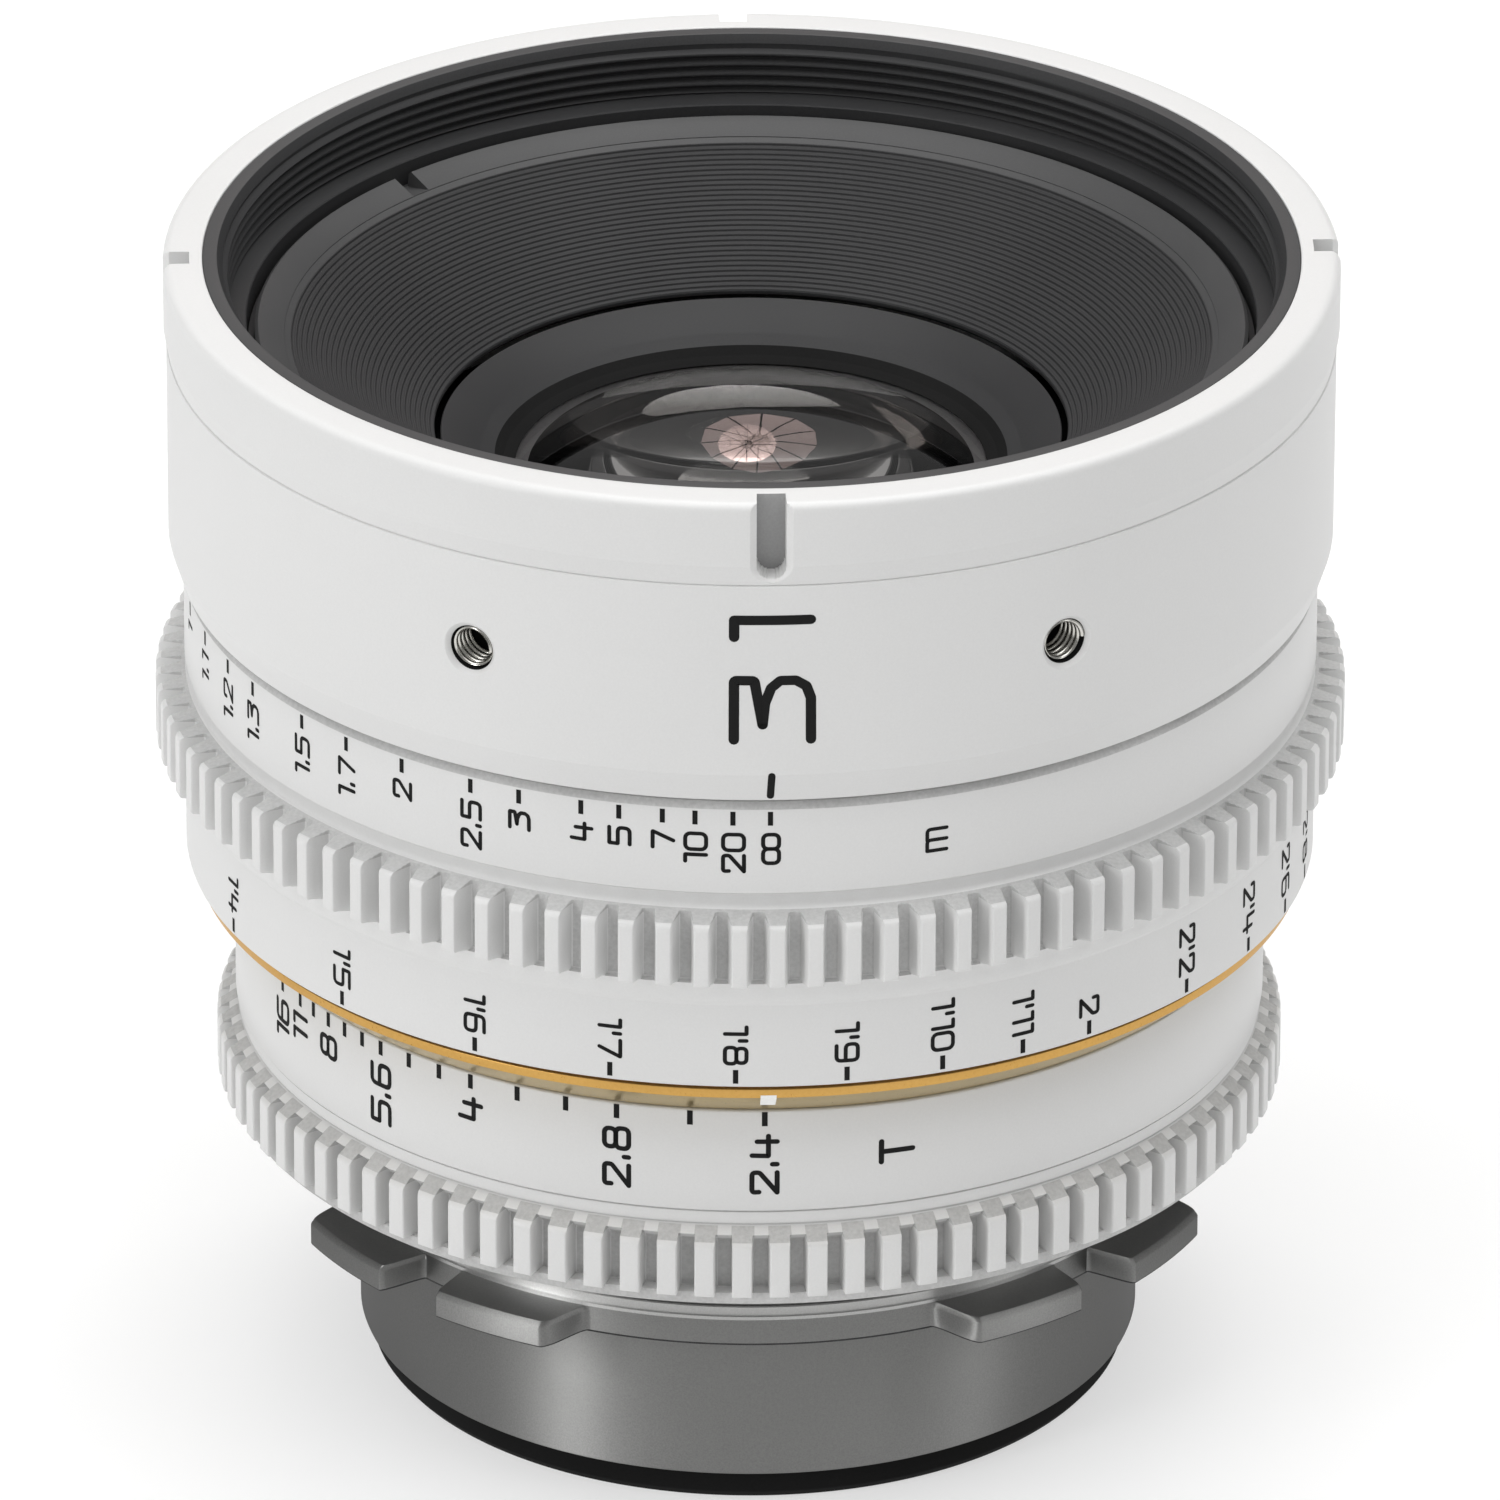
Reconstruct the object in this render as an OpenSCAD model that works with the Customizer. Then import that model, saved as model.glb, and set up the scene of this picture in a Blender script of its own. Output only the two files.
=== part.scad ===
// Cinema prime lens on a four-lug breech mount.
// Z is the optical axis, +Z towards the front; Z = 0 is the flange seat of
// the mount. The index line faces -Y. Millimetres and degrees.

/* [Front barrel] */
// Radius of the front rim (80 mm clamp-on front)
rim_r = 40; // [39.9:0.05:40.2]
// Radius of the barrel behind the rim
body_r = 39.8; // [39.6:0.05:39.85]
// Height of the front face above the flange seat
front_z = 67.9; // [67.7:0.05:68.3]
// Height of the barrel's rear edge
skirt_z = 45.7; // [45.65:0.05:45.9]
// Rounding of the front rim
rim_round = 0.6; // [0.4:0.1:0.8]
// Width of the four front notches
notch_w = 2.0; // [1.6:0.1:2.4]
// Radius at the bottom of the notches
notch_r = 38.2; // [37.9:0.05:38.6]
// Angle of the side accessory threads from the index line
side_thread_phi = 30; // [26:1:34]
// Height of the side accessory threads
side_thread_z = 54.9; // [54.7:0.1:55.3]
// Wall radius of the side threads (M3 minor)
side_thread_r = 1.25; // [1.2:0.01:1.3]

/* [Filter thread] */
// Outer radius of the black filter ring
filter_ring_r = 37.28; // [37.2:0.01:37.28]
// Wall radius of the filter thread (M72 x 0.75 minor)
filter_thread_r = 35.6; // [35.5:0.01:35.7]
// Ribs on the front baffle cone
baffle_ribs = 29; // [16:1:30]

/* [Focus ring] */
// Teeth on the focus gear, 0.8 module
focus_teeth = 100; // [100:1:100]
// Radius of the scale bands on the focus ring
focus_r = 38.8; // [38.7:0.05:38.9]
// Turn from infinity to the closest focus
focus_turn = 265.7; // [180:0.1:270]
// Forward travel of the optical block over that turn
focus_travel = 2.9; // [1.5:0.1:2.9]

/* [Iris ring] */
// Teeth on the iris gear, 0.8 module
iris_teeth = 90; // [90:1:90]
// Radius of the scale band on the iris ring
iris_r = 35.5; // [35.4:0.05:35.6]
// Turn from wide open to the smallest stop
iris_turn = 69.5; // [50:0.5:70]
// Iris blades
blade_count = 9; // [9:1:9]
// Swing of each blade over the iris ring's turn
blade_swing = 33.7; // [20:0.1:34]
// Radius of the opening when wide open
open_r = 12.6; // [12.5:0.05:12.8]

/* [Mount] */
// Radius of the mount barrel
mount_r = 27; // [26.97:0.01:27]
// Radius over the lugs
lug_r = 34; // [33.8:0.05:34]
// Radius of the flange between the lugs
flange_r = 30.4; // [30.3:0.05:30.6]
// Thickness of the lugs
lug_t = 1.9; // [1.6:0.05:2.1]
// Length of the mount barrel behind the flange seat
mount_len = 11.9; // [11.7:0.1:12]

/* [Hidden] */
FN = 144;

lift = 0.3;          // plane the module heights count from, above the flange seat
fz = front_z - lift;
sz = skirt_z - lift;
tz = side_thread_z - lift;
rear = -mount_len - lift;
module_m = 0.8;
focus_tip = module_m * (focus_teeth / 2 + 1);
focus_root = module_m * (focus_teeth / 2 - 1.25);
iris_tip = module_m * (iris_teeth / 2 + 1);
iris_root = module_m * (iris_teeth / 2 - 1.2);

follower_phi = 60;   // where the cam follower stands
follower_z = 40;
key_phi = [150, 330];
stop_phi = 200;
drive_phi = 130;     // iris drive arm at rest
drive_z = 17;
pivot_r = 19.3;      // circle of the blade pivots
pin_a = 20;          // angle from a blade's pivot to its drive pin
blade_z = 26.2;
blade_t = 0.12;
blade_step = 0.21;
swing_ratio = blade_swing / iris_turn;

// x axis of the children is turned to angle p from the index line
module at(p) rotate([0, 0, p - 90]) children();
module up() translate([0, 0, lift]) children();
module lathe(pts) rotate_extrude($fn = FN) polygon(pts);
module tube(ro, ri, z0, z1) difference() {
  translate([0, 0, z0]) cylinder(r = ro, h = z1 - z0, $fn = FN);
  translate([0, 0, z0 - 1]) cylinder(r = ri, h = z1 - z0 + 2, $fn = FN);
}
// rod along the radius at height z
module spoke(r, r0, r1, z, f = 48) translate([r0, 0, z]) rotate([0, 90, 0])
  cylinder(r = r, h = r1 - r0, $fn = f);
// ring sector from angle p0 to p1 about the index line
module sector(ro, ri, z0, z1, p0, p1) rotate([0, 0, p0 - 90])
  rotate_extrude(angle = p1 - p0, $fn = FN)
    translate([ri, z0]) square([ro - ri, z1 - z0]);
// socket or cap screw along Z, head at the top
module screw(r, shank, rh, head) {
  translate([0, 0, -shank]) cylinder(r = r, h = shank + 0.01, $fn = 32);
  difference() {
    cylinder(r = rh, h = head, $fn = 32);
    translate([0, 0, head * 0.45]) cylinder(r = rh * 0.5, h = head, $fn = 6);
  }
}
function arc(cx, cy, r, a0, a1, n) =
  [for (i = [0:n]) let (a = a0 + (a1 - a0) * i / n) [cx + r * cos(a), cy + r * sin(a)]];

// ---------------------------------------------------------------- front
function barrel_profile() = concat(
  [[37.3, 58.5], [37.3, fz]],
  arc(rim_r - rim_round, fz - rim_round, rim_round, 90, 0, 5),
  [[rim_r, 63.05], [body_r, 61.5], [body_r, sz + 2.2],
   [body_r - 0.7, sz], [38.0, sz], [38.0, 49.4], [27.4, 49.4],
   [27.4, 52.4], [36.9, 52.4], [36.9, 58.5]]);

module notch() {
  zc = 63.05;
  spoke(notch_w / 2, notch_r, rim_r + 1, zc);
  translate([notch_r, -notch_w / 2, zc]) cube([5, notch_w, 10]);
  translate([rim_r - 0.43, 0, zc]) rotate([0, 90, 0])
    cylinder(r1 = notch_w / 2, r2 = notch_w / 2 + 0.43, h = 0.431, $fn = 48);
  translate([0, 0, zc]) linear_extrude(10) polygon([
    [rim_r - 0.43, -notch_w / 2], [rim_r + 0.01, -notch_w / 2 - 0.44],
    [rim_r + 0.01, notch_w / 2 + 0.44], [rim_r - 0.43, notch_w / 2]]);
}

module front_barrel() color("white") difference() {
  union() {
    lathe(barrel_profile());
    for (s = [-1, 1]) at(s * side_thread_phi) spoke(3.2, 34.6, 38, tz);
  }
  for (p = [0:90:270]) at(p) notch();
  for (s = [-1, 1]) at(s * side_thread_phi) {
    spoke(1.75, 34, 41, tz);
    translate([39.45, 0, tz]) rotate([0, 90, 0])
      cylinder(r1 = 1.75, r2 = 1.93, h = 0.36, $fn = 48);
  }
  for (i = [0:5]) at(30 + 60 * i) translate([29.4, 0, 48]) cylinder(r = 1.1, h = 6, $fn = 32);
}

module filter_ring() color([0.16, 0.16, 0.16]) lathe([
  [34.35, 58.6], [filter_ring_r, 58.6], [filter_ring_r, fz - 0.05],
  [36.3, fz - 0.05], [filter_thread_r, 66.7], [filter_thread_r, 63.2],
  [34.35, 63.05]]);

function rib_pt(t, d) = let (a = [31.5, 61.55], b = [21.7, 54.75], l = b - a,
  n = [l[1], -l[0]] / norm(l)) a + l * t + n * d;
module ribbed_baffle() color([0.15, 0.15, 0.15]) difference() {
  lathe(concat(
    [[34.25, 57.6], [34.25, 61.3], [33.8, 61.3], [33.8, 62.55]],
    [for (i = [0:baffle_ribs - 1]) for (k = [[0, 0], [0.5, 0], [0.6, 0.16], [0.9, 0.16]])
      rib_pt((i + k[0]) / baffle_ribs, k[1])],
    [[21.7, 54.75], [21.7, 54.35], [22.0, 54.05], [31.0, 59.95], [31.0, 57.6]]));
  for (p = [-136, 44]) at(p) translate([32.9, -0.8, 61.4]) cube([2, 1.6, 2]);
}

module thread_inserts() color("silver") for (s = [-1, 1]) at(s * side_thread_phi)
  difference() {
    spoke(1.73, 34.8, 39.4, tz);
    spoke(side_thread_r, 34, 40, tz);
  }

module front_barrel_screws() color("dimgray") for (i = [0:5]) at(30 + 60 * i)
  translate([29.4, 0, 52.42]) screw(1, 7.5, 1.85, 1.4);

// ---------------------------------------------------------------- fixed core
module main_barrel() color([0.2, 0.2, 0.2]) difference() {
  lathe([[20.4, 4.3], [30.6, 4.3], [30.6, 6.15], [31.95, 6.15], [31.95, 20.4],
    [35.0, 20.4], [35.0, 23.5], [31.0, 23.5], [31.0, 49.38], [27.05, 49.38],
    [27.05, 7.3], [20.4, 7.3]]);
  at(follower_phi) {
    translate([26, -1.75, follower_z]) cube([6, 3.5, focus_travel]);
    spoke(1.75, 26, 32, follower_z);
    spoke(1.75, 26, 32, follower_z + focus_travel);
  }
  for (p = key_phi) at(p) translate([26, -1.51, 36]) cube([6, 3.02, 8]);
  sector(33, 26, drive_z - 1.7, drive_z + 1.7, drive_phi - 3.4, drive_phi + iris_turn + 3.4);
  for (i = [0:5]) at(30 + 60 * i) translate([29.4, 0, 44.5]) cylinder(r = 1.03, h = 6, $fn = 32);
  for (i = [0:5]) at(60 * i) translate([22.4, 0, 4]) cylinder(r = 1.03, h = 4, $fn = 32);
  at(stop_phi) translate([33.2, 0, 21]) cylinder(r = 0.92, h = 4, $fn = 32);
}

module guide_keys() color("silver") for (p = key_phi) at(p)
  translate([25.5, -1.5, 36.02]) cube([5.2, 3, 7.96]);

module index_profile() polygon([[35.02, 20.55], [35.7, 20.55], [38.2, 22.66],
  [38.2, 23.3], [37.5, 23.3], [37.5, 23.55], [35.02, 23.55]]);
module index_slots() for (p = [0, 180]) at(p) translate([0, -0.53, 20]) cube([40, 1.06, 4]);
module mark_layer() rotate_extrude($fn = FN) polygon([[36.6, 21.31], [38.2, 22.66],
  [38.2, 22.86], [37.85, 22.86], [36.4, 21.56]]);
module index_ring() color([0.8, 0.55, 0.2]) difference() {
  rotate_extrude($fn = FN) index_profile();
  intersection() { mark_layer(); index_slots(); }
}
module index_marks() color("white") intersection() {
  mark_layer();
  for (p = [0, 180]) at(p) translate([0, -0.52, 20]) cube([40, 1.04, 4]);
}

module focus_stop_pin() color("silver") at(stop_phi) translate([33.2, 0, 21.02])
  cylinder(r = 0.9, h = 4.4, $fn = 32);

module iris_retainer() color([0.15, 0.15, 0.15]) difference() {
  lathe([[30.62, 4.7], [33.6, 4.7], [34.0, 5.1], [34.0, 6.05], [30.62, 6.05]]);
  for (p = [45:90:315]) at(p) translate([33, -0.8, 4]) cube([2, 1.6, 3]);
}

// ---------------------------------------------------------------- mount
module mount_shim() color("silver") tube(30.1, 24, 4.02, 4.28);

// half lug outline from angle p0 to p1 with soft flanks of width w0 and w1
function ease(t) = t * t * (3 - 2 * t);
function polar(r, p) = [r * sin(p), -r * cos(p)];
function flank(t) = flange_r - 0.05 + (lug_r - flange_r + 0.05) * ease(t);
function lug_half(p0, p1, w0, w1) = concat(
  [polar(28.5, p0)],
  [for (i = [0:8]) polar(flank(i / 8), p0 + w0 * i / 8)],
  [for (i = [1:7]) polar(lug_r, p0 + w0 + (p1 - p0 - w0 - w1) * i / 8)],
  [for (i = [8:-1:0]) polar(flank(i / 8), p1 - w1 * i / 8)],
  [polar(28.5, p1)]);

module mount_flange() color("gray") difference() {
  union() {
    lathe([[24.5, rear], [mount_r - 0.4, rear], [mount_r, rear + 0.4],
      [mount_r, -lift], [flange_r, -lift], [flange_r, 1.9], [flange_r - 0.1, 2.0],
      [flange_r - 0.1, 2.6], [30.1, 2.75], [30.1, 4.0], [20.3, 4.0], [20.3, 0.6], [24.5, 0.6]]);
    for (i = [0:3]) translate([0, 0, -lift]) linear_extrude(lug_t) {
      polygon(lug_half(44.65 + 90 * i + 3.1, 44.65 + 90 * i + 22.6, 1.5, 4));
      polygon(lug_half(44.65 + 90 * i - 22.6, 44.65 + 90 * i - 3.1, 4, 1.5));
    }
  }
  for (i = [0:5]) at(60 * i) translate([22.4, 0, 0]) {
    cylinder(r = 1.1, h = 5, $fn = 32);
    translate([0, 0, 0.5]) cylinder(r = 1.95, h = 1.5, $fn = 32);
  }
}

module mount_screws() color("dimgray") for (i = [0:5]) at(60 * i)
  translate([22.4, 0, 1.98]) mirror([0, 0, 1]) screw(1, 5, 1.85, 1.3);

module rear_baffle() color([0.1, 0.1, 0.1]) lathe([[20.3, -9.5], [24.4, -9.5],
  [24.4, rear - 0.05], [26.2, rear - 0.05], [26.2, -13.7], [25.6, -14.5],
  [21.6, -14.5], [20.3, -13.2]]);

// ---------------------------------------------------------------- gears
// tooth spaces of a gear; tip and root half widths in degrees
module spaces(n, root, tip, top_w, shift) difference() {
  circle(r = tip + 1, $fn = FN);
  polygon([for (i = [0:n - 1]) let (a = 360 / n * i + shift, h = top_w / 2 / tip * 180 / PI,
      b = 360 / n / 2 - 0.62 / root * 180 / PI * 0.5)
    for (q = [[root, -b], [tip + 0.6, -h * 0.55], [tip + 0.6, h * 0.55], [root, b]])
      polar(q[0], a + q[1])]);
}

// ---------------------------------------------------------------- focus
module focus_ring() color("white") difference() {
  lathe([[31.4, 23.75], [focus_r - 0.2, 23.75], [focus_r, 23.95], [focus_r, 30.0],
    [39.2, 30.35], [39.38, 31.85], [focus_tip - 0.12, 32.2], [focus_tip, 32.32], [focus_tip, 36.4],
    [focus_tip - 0.25, 36.76], [38.85, 37.08], [38.6, 37.15], [focus_r, 38.35], [focus_r, 44.55],
    [focus_r - 0.3, 45.05], [36.5, 45.05], [36.5, 43.9], [33.45, 43.9], [33.45, 41.5],
    [36.4, 41.5], [36.4, 26.8], [31.4, 26.8]]);
  translate([0, 0, 31.87]) linear_extrude(6) spaces(focus_teeth, focus_root, focus_tip, 0.85, 0.682);
  sector(34.4, 32.0, 23, 25.7, stop_phi - focus_turn - 2, stop_phi + 2);
  for (i = [0:3]) at(20 + 90 * i) translate([34.9, 0, 41]) cylinder(r = 0.83, h = 4, $fn = 32);
}

// slot that lifts the follower as the sleeve turns
function slot_ring(q, w) = let (p = follower_phi - q, z = follower_z + focus_travel * q / focus_turn)
  [for (c = [[30, -w], [35, -w], [35, w], [30, w]])
    [c[0] * sin(p), -c[0] * cos(p), z + c[1]]];
module cam_slot() {
  n = 72;
  q0 = -3.1;
  q1 = focus_turn + 3.1;
  pts = [for (i = [0:n]) each slot_ring(q0 + (q1 - q0) * i / n, 1.6)];
  polyhedron(pts, concat([[0, 1, 2, 3]],
    [for (i = [0:n - 1]) for (k = [0:3])
      [4 * i + k, 4 * i + 4 + k, 4 * i + 4 + (k + 1) % 4, 4 * i + (k + 1) % 4]],
    [[4 * n + 3, 4 * n + 2, 4 * n + 1, 4 * n]]));
}
module focus_cam_sleeve() color("goldenrod") difference() {
  lathe([[31.05, 27.0], [33.4, 27.0], [33.4, 43.95], [36.4, 43.95], [36.4, 45.3],
    [33.4, 45.3], [33.4, 49.1], [31.05, 49.1]]);
  cam_slot();
  for (i = [0:3]) at(20 + 90 * i) translate([34.9, 0, 43]) {
    cylinder(r = 0.9, h = 4, $fn = 32);
    translate([0, 0, 1.55]) cylinder(r = 1.45, h = 4, $fn = 32);
  }
}
module cam_sleeve_screws() color("dimgray") for (i = [0:3]) at(20 + 90 * i)
  translate([34.9, 0, 44.56]) screw(0.8, 2.9, 1.4, 0.7);

// ---------------------------------------------------------------- iris ring
module iris_ring() color("white") difference() {
  lathe([[32.0, 6.35], [34.4, 6.35], [34.4, 5.8], [35.85, 5.8], [36.0, 5.95], [36.0, 6.67],
    [iris_tip - 0.1, 6.67], [iris_tip, 6.77], [iris_tip, 10.2], [36.55, 10.75], [iris_r, 11.42],
    [iris_r - 0.15, 11.5], [iris_r - 0.15, 12.55], [iris_r, 12.7], [iris_r, 20.1],
    [iris_r - 0.2, 20.3], [32.0, 20.3]]);
  translate([0, 0, 6.67]) linear_extrude(4.4) spaces(iris_teeth, iris_root, iris_tip, 1.1, 1.365);
  at(drive_phi) spoke(1.43, 31, 34.5, drive_z);
}
module iris_drive_arm() color("silver") at(drive_phi) union() {
  spoke(1.4, 25.5, 34.45, drive_z);
  translate([25.0, -1.5, drive_z - 1.5]) cube([1.6, 3, 17.7]);
}

// ---------------------------------------------------------------- optical block
module focus_carrier() color([0.3, 0.3, 0.3]) difference() {
  lathe([[22.5, 7.6], [24.5, 7.6], [24.5, 33.5], [27.0, 33.5], [27.0, 50.0],
    [21.0, 50.0], [21.0, 31.05], [22.5, 31.05]]);
  for (p = key_phi) at(p) translate([25.25, -1.6, 33]) cube([4, 3.2, 18]);
  at(follower_phi) spoke(1.42, 24.0, 28, follower_z);
  sector(25, 22, 28.3, 29.95, drive_phi - 10, drive_phi + iris_turn + 10);
}
module cam_follower() color("silver") at(follower_phi) union() {
  spoke(1.4, 24.1, 27.3, follower_z);
  spoke(1.45, 27.25, 33.2, follower_z);
}
module front_cell() color([0.2, 0.2, 0.2]) lathe([[13.3, 31.2], [20.95, 31.2], [20.95, 33.5],
  [16.5, 34.5], [16.5, 43], [20.95, 44], [20.95, 50.02], [22.6, 50.02], [22.6, 50.5], [20.9, 50.5],
  [20.9, 51.7], [16.7, 51.7], [16.7, 50.0], [14.7, 49.66], [14.7, 41.15], [12.6, 41.15],
  [12.6, 40.68], [13.3, 40.68]]);
module front_retaining_ring() color([0.15, 0.15, 0.15]) lathe([[16.3, 51.75], [21.2, 51.75],
  [21.2, 54.45], [18.4, 52.9], [17.45, 52.35]]);
module front_spacer() color([0.2, 0.2, 0.2]) tube(13.2, 12.0, 34.14, 37.96);
module front_group_retainer() color([0.2, 0.2, 0.2]) tube(13.25, 11.9, 31.2, 31.85);

// lens element of rim radius r. Front and back surfaces by vertex height and
// radius of curvature, positive when the surface bulges outwards
module element(r, zf, rf, zb, rb, e0, e1) difference() {
  intersection() {
    translate([0, 0, e0]) cylinder(r = r, h = e1 - e0, $fn = FN);
    if (rf > 0) translate([0, 0, zf - rf]) sphere(r = rf, $fn = FN);
    if (rb > 0) translate([0, 0, zb + rb]) sphere(r = rb, $fn = FN);
  }
  if (rf < 0) translate([0, 0, zf - rf]) sphere(r = -rf, $fn = FN);
  if (rb < 0) translate([0, 0, zb + rb]) sphere(r = -rb, $fn = FN);
}
glass = [0.5, 0.6, 0.65, 0.6];
module front_element() color(glass) element(16.6, 54.94, 40, 48.5, 90, 46.3, 60);
module element_2() color(glass) element(14.6, 48.2, 45, 46.2, -20, 41.2, 50);
module element_3() color(glass) element(13.2, 43.6, 28, 36.8, 60, 30, 50);
module element_4() color(glass) element(13.2, 36.2, 35, 33.0, -80, 31.9, 40);
module element_5() color(glass) element(12.4, 23.2, -30, 21.2, -25, 18.9, 24.45);
module element_6() color(glass) element(12.9, 20.9, 24.5, 13.0, 30, 10, 25);
module element_7() color(glass) element(14.0, 12.6, 60, 6.6, 35, 5, 15);
module element_8() color(glass) element(15.2, 4.6, -40, 3.0, -60, 1.3, 5.9);
module rear_element() color(glass) element(17.2, 0.6, 50, -7.2, 70, -9, 2);

module rear_cell() color([0.2, 0.2, 0.2]) lathe([[17.3, -10.5], [19.8, -10.5], [19.8, 9.8],
  [22.4, 9.8], [22.4, 24.95], [11.6, 24.95], [11.6, 24.5], [12.5, 24.5], [12.5, 18.85],
  [13.0, 18.85], [13.0, 15.5], [14.1, 15.5], [14.1, 5.95], [15.3, 5.95], [15.3, -1.8],
  [17.3, -1.8]]);
module rear_cell_lock_ring() color([0.2, 0.2, 0.2]) difference() {
  tube(22.45, 19.9, 7.8, 9.75);
  for (p = [0, 180]) at(p) translate([20.9, -0.8, 7]) cube([3, 1.6, 2]);
}
module rear_spacer_a() color([0.2, 0.2, 0.2]) tube(14.0, 12.7, 11.3, 15.3);
module rear_spacer_b() color([0.2, 0.2, 0.2]) tube(14.0, 12.6, 6.05, 8.9);
module rear_retaining_ring() color([0.15, 0.15, 0.15]) lathe([[16.0, -5.45], [17.25, -5.45],
  [17.25, -8.8], [16.6, -8.8]]);

// ---------------------------------------------------------------- iris
function pin_at(b) = let (d = [pivot_r * cos(pin_a) - pivot_r, pivot_r * sin(pin_a)])
  [pivot_r + d[0] * cos(b) - d[1] * sin(b), d[0] * sin(b) + d[1] * cos(b)];
// the drive pin's path seen from the cam ring
function path(q) = let (p = pin_at(q * swing_ratio))
  [p[0] * cos(q) + p[1] * sin(q), -p[0] * sin(q) + p[1] * cos(q)];
function path_n(q) = let (d = path(q + 0.5) - path(q - 0.5)) [-d[1], d[0]] / norm(d);
module cam_track() {
  n = 24;
  q0 = -2.2;
  q1 = iris_turn + 2.6;
  polygon(concat(
    [for (i = [0:n]) let (q = q0 + (q1 - q0) * i / n) path(q) + 0.6 * path_n(q)],
    [for (i = [n:-1:0]) let (q = q0 + (q1 - q0) * i / n) path(q) - 0.6 * path_n(q)]));
}
module iris_cam_ring() color("goldenrod") translate([0, 0, 28.6]) linear_extrude(1) difference() {
  union() {
    circle(r = 21.3, $fn = FN);
    at(drive_phi) translate([20, -3.45]) square([6.3, 6.9]);
  }
  circle(r = 13.6, $fn = FN);
  at(drive_phi) translate([24.7, -1.6]) square([3, 3.2]);
  for (i = [0:blade_count - 1]) rotate(360 / blade_count * i) cam_track();
}
module iris_housing() color([0.2, 0.2, 0.2]) translate([0, 0, 25]) linear_extrude(1) difference() {
  circle(r = 22.4, $fn = FN);
  circle(r = 12.4, $fn = FN);
  for (i = [0:blade_count - 1]) rotate(360 / blade_count * i) translate([pivot_r, 0])
    circle(r = 0.5, $fn = 32);
}
module iris_cover() color([0.2, 0.2, 0.2]) tube(22.4, 13.4, 30.0, 31.0);

module blade(i) color([0.25, 0.25, 0.27]) rotate([0, 0, 360 / blade_count * i]) {
  z = blade_z + blade_step * i;
  translate([0, 0, z]) linear_extrude(blade_t) union() {
    intersection() {
      difference() {
        circle(r = 18.4, $fn = FN);
        circle(r = open_r, $fn = FN);
      }
      polygon([[0, 0], 40 * [cos(-3), sin(-3)], 40 * [cos(55), sin(55)], 40 * [cos(112), sin(112)]]);
    }
    translate([17.5, -1.05]) square([1.8, 2.1]);
    translate([pivot_r, 0]) circle(r = 1.05, $fn = 32);
    rotate(pin_a) translate([17.5, -1]) square([1.8, 2]);
    rotate(pin_a) translate([pivot_r, 0]) circle(r = 1, $fn = 32);
  }
  translate([pivot_r, 0, 25.15]) cylinder(r = 0.45, h = z + blade_t - 25.15, $fn = 32);
  rotate(pin_a) translate([pivot_r, 0, z]) cylinder(r = 0.45, h = 29.5 - z, $fn = 32);
}

up() front_barrel();
up() filter_ring();
up() ribbed_baffle();
up() thread_inserts();
up() front_barrel_screws();
up() main_barrel();
up() guide_keys();
up() index_ring();
up() index_marks();
up() focus_stop_pin();
up() iris_retainer();
up() mount_shim();
up() mount_flange();
up() mount_screws();
up() rear_baffle();
up() focus_ring();
up() focus_cam_sleeve();
up() cam_sleeve_screws();
up() iris_ring();
up() iris_drive_arm();
up() focus_carrier();
up() cam_follower();
up() front_cell();
up() front_retaining_ring();
up() front_element();
up() element_2();
up() element_3();
up() element_4();
up() front_spacer();
up() front_group_retainer();
up() iris_housing();
up() iris_cover();
up() iris_cam_ring();
up() rear_cell();
up() rear_cell_lock_ring();
up() element_5();
up() element_6();
up() element_7();
up() element_8();
up() rear_element();
up() rear_spacer_a();
up() rear_spacer_b();
up() rear_retaining_ring();
up() blade(0);  // iris_blade_1
up() blade(1);  // iris_blade_2
up() blade(2);  // iris_blade_3
up() blade(3);  // iris_blade_4
up() blade(4);  // iris_blade_5
up() blade(5);  // iris_blade_6
up() blade(6);  // iris_blade_7
up() blade(7);  // iris_blade_8
up() blade(8);  // iris_blade_9
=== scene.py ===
import math

import bmesh
import bpy
import numpy as np
from mathutils import Matrix, Vector


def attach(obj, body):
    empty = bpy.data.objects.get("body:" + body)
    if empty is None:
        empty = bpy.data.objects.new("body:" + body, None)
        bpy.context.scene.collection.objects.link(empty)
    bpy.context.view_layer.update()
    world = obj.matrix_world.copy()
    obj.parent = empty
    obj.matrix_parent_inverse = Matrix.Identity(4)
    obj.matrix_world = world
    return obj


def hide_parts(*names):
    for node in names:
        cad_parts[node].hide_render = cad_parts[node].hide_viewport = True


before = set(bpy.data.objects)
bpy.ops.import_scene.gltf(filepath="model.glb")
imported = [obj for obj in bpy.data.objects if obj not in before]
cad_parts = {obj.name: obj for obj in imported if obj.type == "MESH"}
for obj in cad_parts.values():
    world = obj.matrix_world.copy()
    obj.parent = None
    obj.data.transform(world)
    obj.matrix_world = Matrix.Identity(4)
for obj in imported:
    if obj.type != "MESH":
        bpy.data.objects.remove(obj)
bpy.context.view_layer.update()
scene = bpy.context.scene
MM = 0.001
RAD = math.pi / 180.0
LIFT = 0.3  # the heights below count from a plane this far in front of the flange seat

# ------------------------------------------------------------------ materials


def new_mat(name):
    m = bpy.data.materials.new(name)
    m.use_nodes = True
    nt = m.node_tree
    return m, nt, nt.nodes["Principled BSDF"]


def coords(nt, stretch=(1, 1, 1)):
    tc = nt.nodes.new("ShaderNodeTexCoord")
    mp = nt.nodes.new("ShaderNodeMapping")
    mp.inputs["Scale"].default_value = stretch
    nt.links.new(tc.outputs["Object"], mp.inputs["Vector"])
    return mp.outputs["Vector"]


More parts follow.
